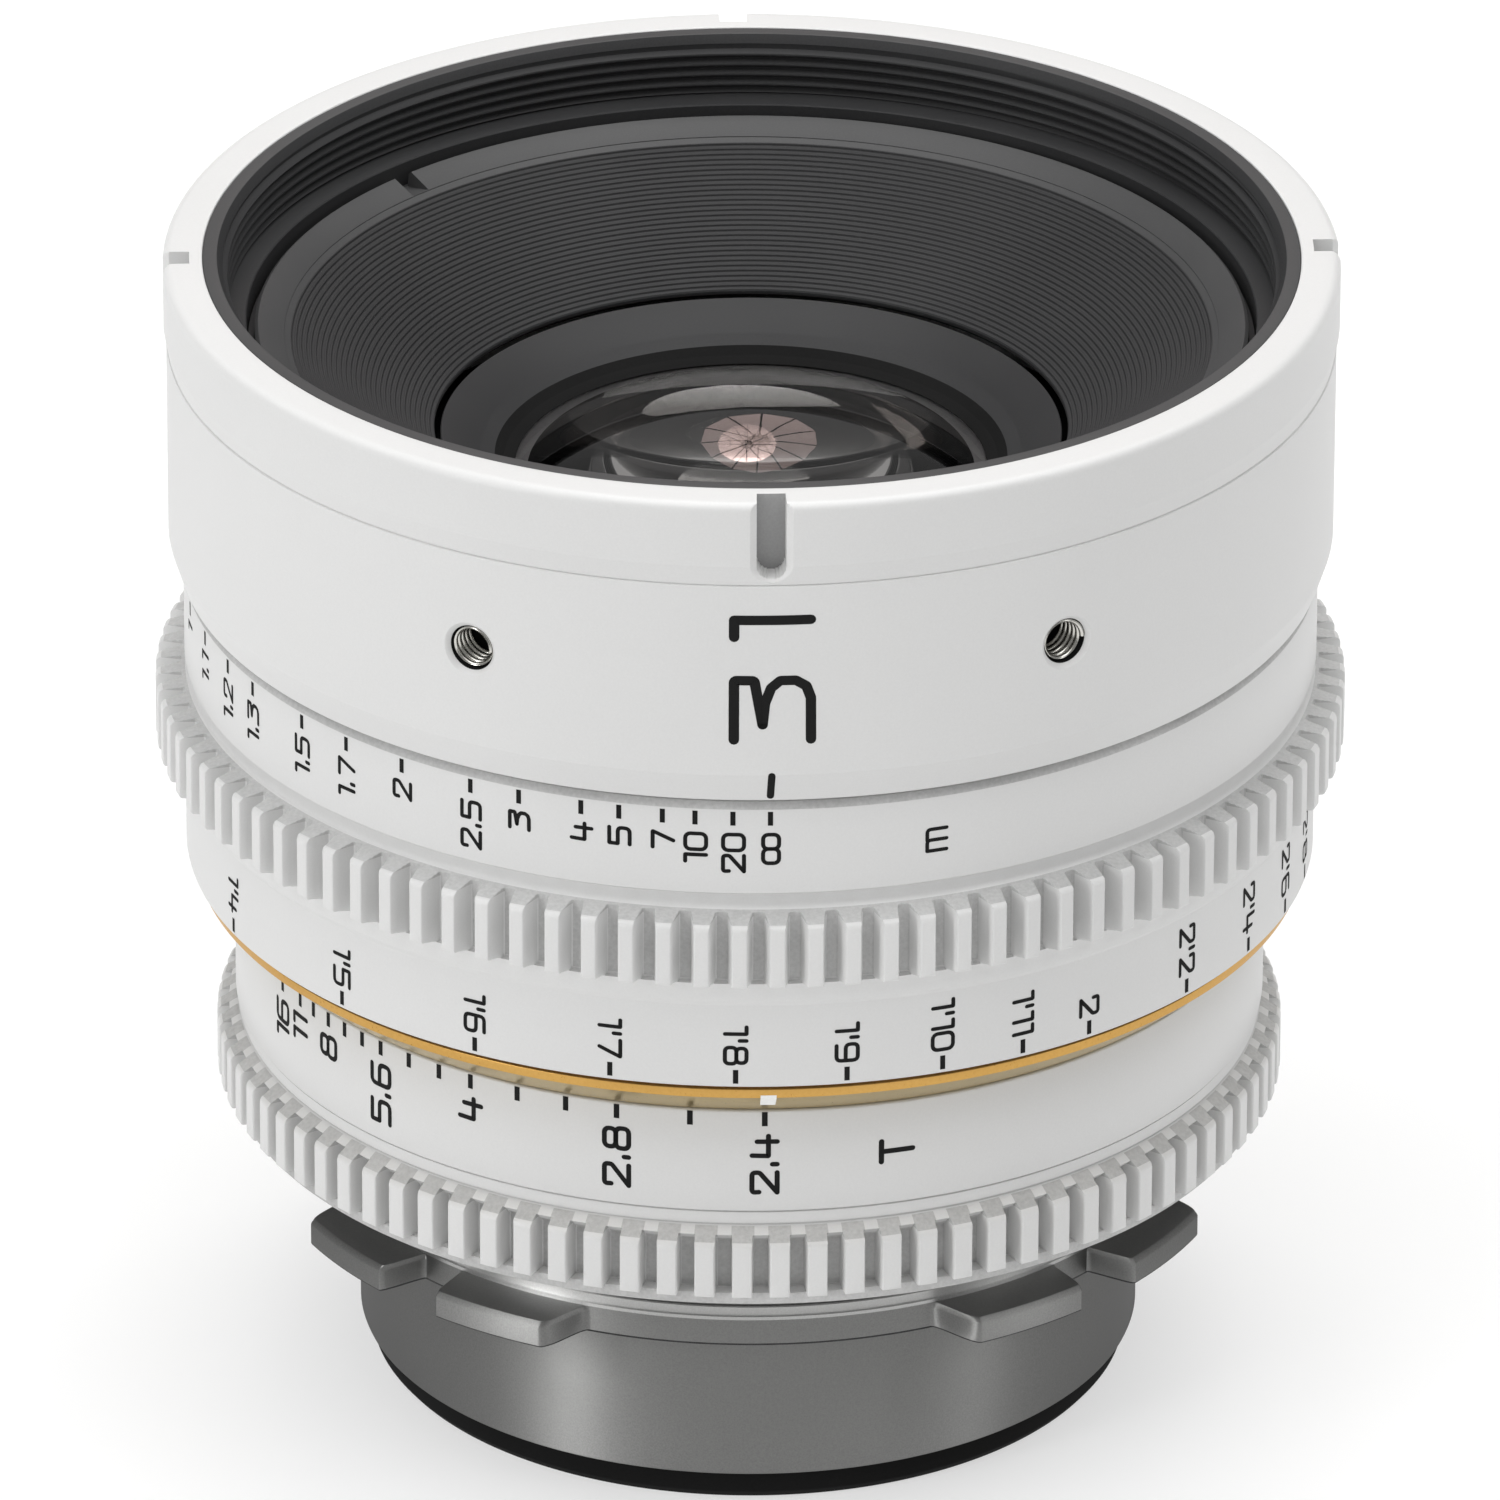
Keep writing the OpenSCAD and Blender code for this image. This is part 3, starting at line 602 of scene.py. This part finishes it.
def between(a, b, rs):
    """Points at the given radii on the line from a to b."""
    (r0, z0), (r1, z1) = a, b
    return [(r, z0 + (z1 - z0) * (r - r0) / (r1 - r0)) for r in rs]


def arc_pts(c, r, a0, a1, k):
    return [(c[0] + r * math.cos((a0 + (a1 - a0) * t / k) * RAD), c[1] + r * math.sin((a0 + (a1 - a0) * t / k) * RAD))
            for t in range(k + 1)]


FOC, TIP_F, ROOT_F = 38.8, 40.8, 39.0
focus_prof = (
    [(31.4, 23.75)] + arc_pts((FOC - 0.18, 23.93), 0.18, -90, 0, 3)
    + [(FOC, 26.5), (FOC, 29.86), (38.86, 29.98), (39.1, 30.24), (39.2, 30.4), (39.26, 31.0), (39.33, 31.5), (39.37, 31.76),
       (39.40, 31.84), (39.45, 31.88), (39.7, 31.95), (40.05, 32.04), (40.35, 32.12)]
    + arc_pts((TIP_F - 0.2, 32.37), 0.2, -70, 0, 3) + [(TIP_F, 33.2), (TIP_F, 34.6), (TIP_F, 36.0)]
    + arc_pts((TIP_F - 0.45, 36.3), 0.45, 0, 78, 6)
    + [(40.2, 36.79), (39.9, 36.855), (39.6, 36.918), (39.3, 36.98), (39.1, 37.02), (39.0, 37.04), (38.85, 37.08), (38.76, 37.11)]
    + arc_pts((38.74, 37.42), 0.29, -90, -178, 4) + [(38.48, 37.75), (38.56, 38.15), (38.7, 38.28)]
    + [(FOC, 38.35), (FOC, 41.5), (FOC, 44.5), (FOC - 0.02, 44.56), (FOC - 0.15, 44.79), (FOC - 0.29, 45.02), (FOC - 0.33, 45.05)]
    + [(36.5, 45.05), (36.5, 43.9), (33.45, 43.9), (33.45, 41.5), (36.4, 41.5), (36.4, 26.8), (31.4, 26.8)])


# faces in the greyer blasted paint: the ground strip at the top, the tooth-top plane and the tooth roots; on the tooth
# tops and in the roots its darker grey is painted shade
def focus_blast_and_shade(r, a, b, lim):
    if 44.52 < a[1] < 45.03 and a[0] > 38:
        return 1
    if 36.73 < a[1] < 37.09 and b[1] < 37.15 and a[0] > 38.7:
        return 1
    return 1 if r < 39.06 and lim < 39.06 and 32.0 < a[1] < 36.8 and a[0] > 39 else 0


geared("focus_ring_geared", focus_prof, gear_columns(100, 0.682, ROOT_F, TIP_F, 0.50, 0.41), 31.86, 37.06,
       [WHITE, WHITE_ROUGH_AND_SHADE], focus_blast_and_shade, angle=30, body="focus_ring", nodes=("focus_ring",), slot="white_paint")

IRI, TIP_I, ROOT_I = 35.5, 36.8, 35.0
iris_prof = (
    [(32.0, 6.35), (34.4, 6.35), (34.4, 5.8)] + arc_pts((35.85, 5.95), 0.15, -90, 0, 3) + [(36.0, 6.3), (36.0, 6.63), (35.98, 6.668)]
    + [(36.1, 6.674), (36.4, 6.678)] + arc_pts((TIP_I - 0.14, 6.82), 0.14, -90, 0, 3)
    + [(TIP_I, 8.0), (TIP_I, 9.4), (TIP_I, 10.15)] + arc_pts((TIP_I - 0.6, 10.25), 0.6, 0, 57, 6)
    + [(36.36, 10.86), (36.18, 10.975), (36.0, 11.09), (35.88, 11.175), (35.75, 11.26), (35.6, 11.355), (35.5, 11.42), (35.36, 11.47),
       (35.18, 11.53), (35.18, 11.62), (35.34, 11.7), (35.34, 12.1), (35.34, 12.5), (35.18, 12.56), (35.18, 12.64)]
    + [(IRI - 0.03, 12.69), (IRI, 12.76), (IRI, 16.0)] + arc_pts((IRI - 0.2, 20.1), 0.2, 0, 90, 3) + [(32.0, 20.3)])


# faces in the greyer blasted paint: the shoulder under the teeth and the tooth roots, where its darker grey is painted
# shade, and the textured cone above the teeth
def iris_blast_and_shade(r, a, b, lim):
    if a[1] < 6.66:
        return 1
    if lim < 35.06:
        return 1 if 6.7 < a[1] < 10.5 else 0
    return 1 if 10.72 < a[1] < 11.45 else 0


geared("iris_ring_geared", iris_prof, gear_columns(90, 1.365, ROOT_I, TIP_I, 0.645, 0.5), 6.672, 11.44,
       [WHITE, WHITE_ROUGH_AND_SHADE], iris_blast_and_shade, runout=(10.2, 1.1), angle=30, body="iris_ring", nodes=("iris_ring",), slot="white_paint")

# ------------------------------------------------------------------ index ring, mount, rear

# the cone below 22.65 takes the paler gold as a painted reflection of the white iris ring
lathe("gold_index_ring", rp([(35.02, 20.55), (35.66, 20.55, 0.05), (38.2, 22.66, 0.03), (38.2, 23.29, 0.04), (37.5, 23.29), (37.5, 23.55),
                           (35.02, 23.55)], 3),
      [GOLD, GOLD_CONE_REFLECTION], 320, lambda m, a, b: 1 if m[1] < 22.65 else 0, nodes=("index_ring",), slot="gold_anodised")


def index_marks():
    V, F = [], []
    sect = [(36.58, 21.305), (37.38, 21.97), (38.2, 22.648), (38.2, 22.86), (37.85, 22.86), (36.4, 21.56)]
    for c in (0.0, 180.0):
        k = 7
        base = len(V)
        for j in range(k):
            for r, z in sect:
                V.append(pol(r + 0.004, c + (j / (k - 1) - 0.5) * 1.07 / 38.0 / RAD, z - 0.006))
        m = len(sect)
        for j in range(k - 1):
            for i in range(m):
                F.append((base + j * m + i, base + (j + 1) * m + i, base + (j + 1) * m + (i + 1) % m, base + j * m + (i + 1) % m))
        F.append(tuple(base + i for i in range(m)))
        F.append(tuple(base + (k - 1) * m + i for i in reversed(range(m))))
    return make("index_marks_inlaid", V, F, [INDEX], angle=30, nodes=("index_marks",), slot="index_white")


index_marks()


def mount_flange():
    hub, lug = 30.4, 34.0
    cols = set(float(x) for x in range(360))
    for k in range(4):
        for lo, hi in ((-22.8, -18.4), (-4.8, -2.9), (2.9, 4.8), (18.4, 22.8)):
            n = int((hi - lo) / 0.16)
            cols.update(round((44.65 + 90 * k + lo + (hi - lo) * t / n) % 360, 4) for t in range(n + 1))
    phis = np.array(sorted(cols))
    u = np.abs((phis - 44.65 + 45) % 90 - 45)

    def ease(t):
        t = np.clip(t, 0, 1)
        return t * t * (3 - 2 * t)

    L = (hub + (lug - hub) * ease((u - 3.1) / 1.5) * ease((22.6 - u) / 4.0))[:, None]
    one = np.ones_like(L)
    rows = [(24.5, -12.2), (26.75, -12.2), (26.93, -12.13), (27.0, -11.95), (27.0, -6.0), (27.0, -0.46), (26.86, -0.42), (26.86, -0.3)]
    R = [one * r for r, _ in rows]
    Z = [one * z for _, z in rows]

    def add(r, z):
        R.append(r * one)
        Z.append(z * one)

    for t in (0.25, 0.5, 0.75):
        add(27.2 + (L - 0.12 - 27.2) * t, -0.3)
    for d, z in ((0.12, -0.3), (0.035, -0.265), (0.0, -0.17), (0.0, 0.4), (0.0, 1.22), (0.03, 1.30), (0.24, 1.545), (0.33, 1.6)):
        add(np.maximum(L - d, hub), z)
    for t in (0.25, 0.5, 0.75):
        add(np.maximum((L - 0.36) * (1 - t) + hub * t, hub), 1.6)
    for r, z in ((hub, 1.6), (hub, 1.62), (hub, 1.86), (hub - 0.07, 1.93), (hub - 0.1, 2.0), (hub - 0.1, 2.54), (hub - 0.17, 2.62),
                 (30.1, 2.64), (30.1, 4.0), (20.3, 4.0), (20.3, 0.6), (24.5, 0.6)):
        add(r, z)
    R, Z = np.concatenate(R, axis=1), np.concatenate(Z, axis=1)
    V, F, key = grid(R, Z, phis)
    fm = []
    n = len(phis)
    for j, i in key:
        i2, j2 = (i + 1) % R.shape[1], (j + 1) % n
        # lug tops: darker steel as a painted dark reflection
        lug_top_dark_reflection = abs(Z[j, i] - 1.6) < 1e-6 and abs(Z[j, i2] - 1.6) < 1e-6
        # groove and lower chamfer under the flange: black as a painted shade line
        low = max(Z[j, i], Z[j, i2]) < -0.16 and min(Z[j, i], Z[j, i2]) > -0.47
        # hub band above the lugs: brighter steel as a painted highlight
        hub_highlight_band = min(Z[j, i], Z[j, i2]) > 1.61 and max(Z[j, i], Z[j, i2]) < 2.66
        fm.append(2 if low else 3 if hub_highlight_band else 1 if lug_top_dark_reflection and max(R[j, i], R[j2, i]) > hub + 0.02 else 0)
    return make("mount_flange_lugged", V, F, [STEEL, STEEL_LUG_TOP_REFLECTION, BLACK_RING_AND_SHADE_LINE, STEEL_HUB_HIGHLIGHT], fm, angle=30, nodes=("mount_flange",), slot="mount_steel")


mount_flange()

lathe("rear_baffle_ring", rp([(20.3, -9.5), (24.4, -9.5), (24.4, -12.25), (26.2, -12.25, 0.1), (26.2, -13.9, 0.3), (25.7, -14.5, 0.15),
                               (21.6, -14.5, 0.1), (20.3, -13.2, 0.1)], 3),
      [BLACK_DEEP], 256, nodes=("rear_baffle",), slot="black_anodised")

# ------------------------------------------------------------------ scales

W = 0.84  # glyph width for a height of 1


def rounded(pts, r=0.16, closed=False):
    """Polyline with its corners rounded; a point may give a radius of its own."""
    q = [p if len(p) > 2 else (*p, r) for p in pts]
    if closed:
        out = rp(q, 4)
        return out + [out[0]]
    n = len(q)
    out = []
    for i in range(n):
        if i in (0, n - 1):
            out.append(tuple(q[i][:2]))
            continue
        out += corner(q[i - 1], q[i], q[i + 1])
    return out


def corner(a, p, b, seg=4):
    a, c, b, r = np.array(a[:2]), np.array(p[:2]), np.array(b[:2]), p[2]
    u, v = a - c, b - c
    lu, lv = np.linalg.norm(u), np.linalg.norm(v)
    u, v = u / lu, v / lv
    half = math.acos(max(-1, min(1, float(u @ v)))) / 2
    if half > math.pi / 2 - 0.02:
        return [tuple(c)]
    t = min(r / math.tan(half), lu * 0.49, lv * 0.49)
    k = [c + u * t * (1 - s / seg) ** 2 + v * t * (s / seg) ** 2 for s in range(seg + 1)]
    return [tuple(x) for x in k]


THREE = [rounded([(0, 1), (W, 1), (W, 0.737), (0.258 * W, 0.628)], 0.04),
         rounded([(0.258 * W, 0.628), (0.62 * W, 0.598), (0.876 * W, 0.519), (W, 0.4), (W, 0.2), (0.9 * W, 0.063), (0.7 * W, 0.004), (0, 0)], 0.05)]
GLYPH = {
    "0": ([rounded([(0, 0), (W, 0), (W, 1), (0, 1)], 0.25, True)], W),
    "1": ([rounded([(0.0, 1), (0.36, 1), (0.36, 0)], 0.03)], 0.36),
    "2": ([rounded([(0.02, 0.72), (0.0, 1, 0.2), (W, 1, 0.2), (W, 0.7, 0.16), (0.0, 0.0)], 0.16), [(0.0, 0.0), (W, 0.0)]], W),
    "3": (THREE, W),
    "4": ([rounded([(0.02, 1), (0, 0.35), (W, 0.35)], 0.03), [(0.72 * W, 0.8), (0.72 * W, 0)]], W),
    "5": ([rounded([(W, 1), (0.0, 1, 0.03), (0.0, 0.58, 0.03), (W, 0.58, 0.2), (W, 0, 0.24), (0, 0)])], W),
    "6": ([rounded([(W - 0.05, 1), (0, 1), (0, 0), (W, 0), (W, 0.57), (0.02, 0.57)], 0.23)], W),
    "7": ([rounded([(0, 1), (W, 1), (0.4, 0)], 0.03)], W),
    "8": ([rounded([(0.04, 0.53), (W - 0.04, 0.53), (W - 0.04, 1), (0.04, 1)], 0.19, True),
           rounded([(0, 0), (W, 0), (W, 0.53), (0, 0.53)], 0.19, True)], W),
    "9": ([rounded([(0.05, 0), (W, 0), (W, 1), (0, 1), (0, 0.43), (W - 0.02, 0.43)], 0.23)], W),
    ".": ([[(0.0, 0.0), (0.0, 0.19)]], 0.0),
    "'": ([[(0.0, 1.0), (0.0, 0.68)]], 0.0),
    "m": ([[(0, 0), (0, 0.72)], rounded([(0, 0.72), (0.42, 0.72), (0.42, 0)], 0.14), rounded([(0.42, 0.72), (0.84, 0.72), (0.84, 0)], 0.14)], 0.84),
    "T": ([[(0, 1), (0.7, 1)], [(0.35, 1), (0.35, 0)]], 0.7),
    "~": ([rounded([(0, 0.12), (0.76, 0.12), (0.76, 0.88), (0, 0.88)], 0.24, True),
           rounded([(0.76, 0.12), (1.52, 0.12), (1.52, 0.88), (0.76, 0.88)], 0.24, True)], 1.52),
}


class Ink:
    """Painted strokes wrapped on a cylinder, or on a skin whose radius changes with height."""

    def __init__(self, R, skin=None):
        self.R, self.V, self.F = R, [], []
        self.skin = skin or (lambda z: R)

    def put(self, pts, width, lift=0.012):
        """Capsule strokes along points (u, z): u is the arc length round the cylinder in mm from the index line."""
        h = width / 2
        fine = [np.array(pts[0], float)]
        for a, b in zip(pts, pts[1:]):
            a, b = np.array(a, float), np.array(b, float)
            k = max(1, int(math.ceil(np.linalg.norm(b - a) / 0.45)))
            fine += [a + (b - a) * t / k for t in range(1, k + 1)]
        fine = [p for i, p in enumerate(fine) if i == 0 or np.linalg.norm(p - fine[i - 1]) > 1e-4]
        shut = len(fine) > 3 and np.linalg.norm(fine[0] - fine[-1]) < 1e-3
        if shut:
            fine = fine[:-1]
        n = len(fine)
        left, right = [], []
        for i, p in enumerate(fine):
            if shut:
                d0, d1 = p - fine[i - 1], fine[(i + 1) % n] - p
            else:
                d0 = p - fine[i - 1] if i else fine[1] - p
                d1 = fine[i + 1] - p if i < n - 1 else p - fine[-2]
            d0, d1 = d0 / np.linalg.norm(d0), d1 / np.linalg.norm(d1)
            t = d0 + d1
            t = t / max(np.linalg.norm(t), 1e-6)
            m = np.array([-t[1], t[0]])
            s = h / max(0.5, abs(float(m @ np.array([-d0[1], d0[0]]))))
            left.append(p + m * s)
            right.append(p - m * s)
        base = len(self.V)
        for a, b in zip(left, right):
            self.add(a, lift)
            self.add(b, lift)
        for i in range(n if shut else n - 1):
            j = (i + 1) % n
            self.F.append((base + 2 * i, base + 2 * j, base + 2 * j + 1, base + 2 * i + 1))
        if not shut:
            for end, i, d in ((0, 0, fine[0] - fine[1]), (1, n - 1, fine[-1] - fine[-2])):
                a0 = math.atan2(d[1], d[0])
                arc = [fine[i] + h * np.array([math.cos(a0 + (k / 6 - 0.5) * math.pi), math.sin(a0 + (k / 6 - 0.5) * math.pi)])
                       for k in range(1, 6)]
                s = len(self.V)
                for q in arc:
                    self.add(q, lift)
                ends = [base + 2 * i, base + 2 * i + 1]
                # the cap runs from one side of the stroke to the other
                first, last = (ends[1], ends[0]) if end else (ends[0], ends[1])
                self.F.append((first, *range(s, s + 5), last))

    def add(self, p, lift):
        self.V.append(pol(self.skin(p[1]) + lift, p[0] / self.R / RAD, p[1]))

    def text(self, label, phi, z, h, width, turn, track=0.28, wide=1.0):
        """turn 1 reads upwards and ends at z, -1 reads downwards and ends at z, both centred on phi."""
        u0 = phi * RAD * self.R
        x, glyphs = 0.0, []
        for i, ch in enumerate(label):
            strokes, w = GLYPH[ch]
            glyphs.append((x, strokes))
            small = ch in ".'" or label[i + 1:i + 2] in (".", "'")
            x += w + track * (1.25 if small else 1.0)
        total = x - track
        for gx, strokes in glyphs:
            for s in strokes:
                if turn > 0:
                    pts = [(u0 - (b - 0.5) * h, z + (gx + a - total) * h * wide) for a, b in s]
                else:
                    pts = [(u0 + (b - 0.5) * h, z - (gx + a - total) * h * wide) for a, b in s]
                self.put(pts, width)

    def tick(self, phi, z0, z1, width):
        """Square-ended mark."""
        u = phi * RAD * self.R
        base = len(self.V)
        for a, b in ((-1, z0), (1, z0), (1, z1), (-1, z1)):
            self.add((u + a * width / 2, b), 0.012)
        self.F.append((base, base + 1, base + 2, base + 3))

    def build(self, name, body, slot=None):
        return make(name, self.V, self.F, [INK], angle=30, merge=1e-9, body=body)


def turn_of(d):
    """Turn of the focus ring from infinity for a distance in metres."""
    return 73.5 / (d - 0.115) if d > 1.05 else 72.39 / (d - 0.1132)


metre = Ink(FOC)
marks = [("~", 0.0)] + [(t, turn_of(float(t))) for t in
                         ("20", "10", "7", "5", "4", "3", "2.5", "2", "1.7", "1.5", "1.3", "1.2", "1.1", "1", ".9", ".8", ".7",
                          ".6", ".55", ".5", ".45", ".42", ".4", ".39")]
for t, a in marks:
    metre.tick(0.04 - a, 43.39, 44.42, 0.35)
    metre.text(t, 0.11 - a, 42.72, 1.4, 0.28, 1)
metre.text("m", 16.4, 42.2, 1.9, 0.27, 1)
metre.build("focus_scale_metres", "focus_ring")

feet = Ink(FOC)
INCH = 0.0254
fl = [("1'4", 16), ("1'5", 17), ("1'6", 18), ("1'7", 19), ("1'8", 20), ("1'9", 21), ("1'10", 22), ("1'11", 23), ("2", 24), ("2'2", 26),
      ("2'4", 28), ("2'6", 30), ("2'8", 32), ("3", 36), ("3'6", 42), ("4", 48), ("5", 60), ("6", 72), ("8", 96), ("10", 120), ("15", 180),
      ("30", 360)]
for t, inch in fl:
    a = 180.05 - turn_of(inch * INCH)
    feet.tick(a, 24.05, 25.08, 0.36)
    feet.text(t, a, 25.55, 1.45, 0.28, -1)
feet.tick(180, 24.05, 25.08, 0.36)
feet.text("~", 180, 25.55, 1.45, 0.28, -1)
feet.build("focus_scale_feet", "focus_ring")

stops = Ink(IRI)
for t, a in (("2.4", 0.25), ("2.8", 16.53), ("4", 34.0), ("5.6", 46.7), ("8", 55.7), ("11", 61.5), ("16", 65.75)):
    stops.tick(-a, 19.13, 20.2, 0.39)
    stops.text(t, -a, 18.38, 1.70, 0.35, 1, wide=1.06)
for a in (8.4, 22.35, 28.13, 38.2, 42.45, 49.7, 52.7, 58.65):
    stops.tick(-a, 19.13, 20.2, 0.39)
stops.text("T", 14.4, 17.4, 2.2, 0.38, 1)
stops.build("iris_scale_stops", "iris_ring")

barrel_ink = Ink(BODY, lambda z: BODY - max(0.0, 47.6 - z) * 0.7 / 2.2)
H, WIDE = 5.135, 4.392 / W
for stroke in THREE:
    barrel_ink.put([(-2.469 + (1 - y) * H, 50.242 + x * WIDE) for x, y in stroke], 0.70)
barrel_ink.put([(-2.469, 57.82), (-2.469, 59.08)], 0.70)
barrel_ink.put([(-2.469, 59.08), (2.62, 59.08)], 0.70)
barrel_ink.put([(0.07, 47.55), (0.0, 45.82)], 0.5)
barrel_ink.build("barrel_focal_numeral", "barrel")

# ------------------------------------------------------------------ CAD nodes that stay

KEEP = {
    BLACK_DEEP: ["focus_carrier", "front_cell", "front_spacer", "front_group_retainer"],
    BLACK: ["main_barrel", "iris_retainer", "iris_housing", "iris_cover", "rear_cell", "rear_cell_lock_ring", "rear_spacer_a", "rear_spacer_b", "rear_retaining_ring"],
    SCREW: ["front_barrel_screws", "mount_screws", "cam_sleeve_screws", "guide_keys", "focus_stop_pin", "iris_drive_arm",
            "cam_follower"],
    STEEL: ["mount_shim"],
    BRASS: ["focus_cam_sleeve", "iris_cam_ring"],
    GLASS_INNER: ["element_%d" % i for i in range(2, 9)] + ["rear_element"],
    BLADE: ["iris_blade_%d" % i for i in range(1, 10)],
}
for m, names in KEEP.items():
    for n in names:
        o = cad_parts[n]
        o.data.materials.clear()
        o.data.materials.append(m)

# ------------------------------------------------------------------ stage, light, camera


def stage_mesh(name, verts, faces, m):
    me = bpy.data.meshes.new(name)
    me.from_pydata(verts, [], faces)
    me.materials.append(m)
    o = bpy.data.objects.new(name, me)
    scene.collection.objects.link(o)
    return o


fm_, fnt, fb = new_mat("floor_white")
fv = coords(fnt)
fnt.links.new(ramp(fnt, noise(fnt, fv, 6.0, 2.0), [(0.3, (0.41, 0.41, 0.41)), (0.7, (0.44, 0.44, 0.44))]), fb.inputs["Base Color"])
fb.inputs["Roughness"].default_value = 0.8
fb.inputs["Specular IOR Level"].default_value = 0.1
fb.inputs["Emission Color"].default_value = (1, 1, 1, 1)
fb.inputs["Emission Strength"].default_value = 0.56
S = 6.0
stage_mesh("floor", [(-S, -S, -0.01422), (S, -S, -0.01422), (S, S, -0.01422), (-S, S, -0.01422)], [(0, 1, 2, 3)], fm_)

world = bpy.data.worlds.new("studio")
world.use_nodes = True
world.node_tree.nodes["Background"].inputs["Color"].default_value = (1, 1, 1, 1)
world.node_tree.nodes["Background"].inputs["Strength"].default_value = 0.28
scene.world = world


def area(name, loc, aim, size, power, size_y=None):
    d = bpy.data.lights.new(name, "AREA")
    d.energy = power
    d.shape = "RECTANGLE"
    d.size, d.size_y = size, size_y or size
    o = bpy.data.objects.new(name, d)
    o.location = loc
    o.rotation_euler = (Vector(aim) - Vector(loc)).to_track_quat("-Z", "Y").to_euler()
    scene.collection.objects.link(o)
    return o


area("overhead", (-0.05, -0.21, 1.15), (-0.05, -0.21, 0), 2.2, 17.0, 1.08)
area("left_key", (-0.96, -0.72, 0.40), (0, 0, 0.05), 0.26, 4.6, 0.8)
area("right_fill", (1.08, -0.50, 0.40), (0, 0, 0.05), 0.26, 1.2, 0.8)


def back_disc():
    """Round reflector above and behind the lens, lit along its near edge."""
    m, nt, b = new_mat("reflector_cloth")
    b.inputs["Base Color"].default_value = (0.05, 0.05, 0.05, 1)
    b.inputs["Emission Strength"].default_value = 9.5
    xyz = nt.nodes.new("ShaderNodeSeparateXYZ")
    nt.links.new(coords(nt), xyz.inputs["Vector"])
    far = nt.nodes.new("ShaderNodeMapRange")
    far.inputs["From Min"].default_value = 0.35
    far.inputs["From Max"].default_value = 0.74
    nt.links.new(xyz.outputs["Y"], far.inputs["Value"])
    nt.links.new(ramp(nt, far.outputs["Result"], [(0.0, (1, 1, 1)), (0.35, (0.62, 0.62, 0.61)), (1.0, (0.26, 0.255, 0.25))]),
                 b.inputs["Emission Color"])
    rim = [(0.09 + 0.61 * math.sin(t * RAD), 0.955 - 0.61 * math.cos(t * RAD), 1.149) for t in range(-65, 79, 3)]
    rim += [(0.60, 0.87, 1.149), (0.35, 0.79, 1.149), (0.073, 0.73, 1.149), (-0.20, 0.72, 1.149)]
    stage_mesh("back_reflector", rim, [tuple(range(len(rim)))], m)


back_disc()


def umbrella():
    """Twelve-ribbed shoot-through umbrella behind the lens, turned away from it, as a lit twelve-sided disc with dark ribs."""
    m, nt, b = new_mat("umbrella_cloth")
    v = coords(nt)
    glow = ramp(nt, noise(nt, v, 9.0, 2.0), [(0.3, (0.97, 0.74, 0.70)), (0.7, (1.0, 0.80, 0.76))])
    nt.links.new(glow, b.inputs["Emission Color"])
    nt.links.new(glow, b.inputs["Base Color"])
    b.inputs["Emission Strength"].default_value = 0.65
    d, _, db = new_mat("umbrella_rib")
    db.inputs["Base Color"].default_value = (0.02, 0.02, 0.02, 1)
    way = Vector((0.0433, 0.8269, 0.5606)).normalized()
    cen = Vector((0, 0, 0.055)) + way * 0.9
    side = way.cross(Vector((0, 0, 1))).normalized()
    up = side.cross(way).normalized()
    rad = 0.9 * math.tan(12.0 * RAD)

    def at(r, a, lift=0.0):
        return tuple(cen + side * (0.5 * r * math.cos(a)) + up * (r * math.sin(a)) - way * lift)

    verts = [at(0, 0)] + [at(rad, math.pi * k / 6) for k in range(12)]
    stage_mesh("umbrella", verts, [(0, 1 + k, 1 + (k + 1) % 12) for k in range(12)], m)
    rv, rf = [], []
    for k in range(12):
        a = math.pi * k / 6
        w = 0.003
        da = w / rad
        i = len(rv)
        rv += [at(0.01, a - 0.35, 0.004), at(0.01, a + 0.35, 0.004), at(rad, a + da, 0.004), at(rad, a - da, 0.004)]
        rf.append((i, i + 1, i + 2, i + 3))
    i = len(rv)
    rv += [at(0.040, math.pi * k / 8, 0.006) for k in range(16)]
    rf.append(tuple(range(i, i + 16)))
    stage_mesh("umbrella_ribs", rv, rf, d)


umbrella()

cam = bpy.data.cameras.new("camera")
cam.sensor_width = 36.0
cam.lens = 453.70
cam.clip_start, cam.clip_end = 0.05, 60.0
co = bpy.data.objects.new("camera", cam)
scene.collection.objects.link(co)
e, a, roll = 26.287 * RAD, -2.0 * RAD, 0.206 * RAD
back = Vector((math.sin(a) * math.cos(e), -math.cos(a) * math.cos(e), math.sin(e)))
right = Vector((0, 0, 1)).cross(back).normalized()
up = back.cross(right)
x = right * math.cos(roll) + up * math.sin(roll)
y = -right * math.sin(roll) + up * math.cos(roll)
pos = Vector((0, 0, 0.03015)) + back * 1.3
co.matrix_world = Matrix(((x[0], y[0], back[0], pos[0]), (x[1], y[1], back[1], pos[1]), (x[2], y[2], back[2], pos[2]), (0, 0, 0, 1)))
scene.camera = co
scene.view_settings.view_transform = "Standard"
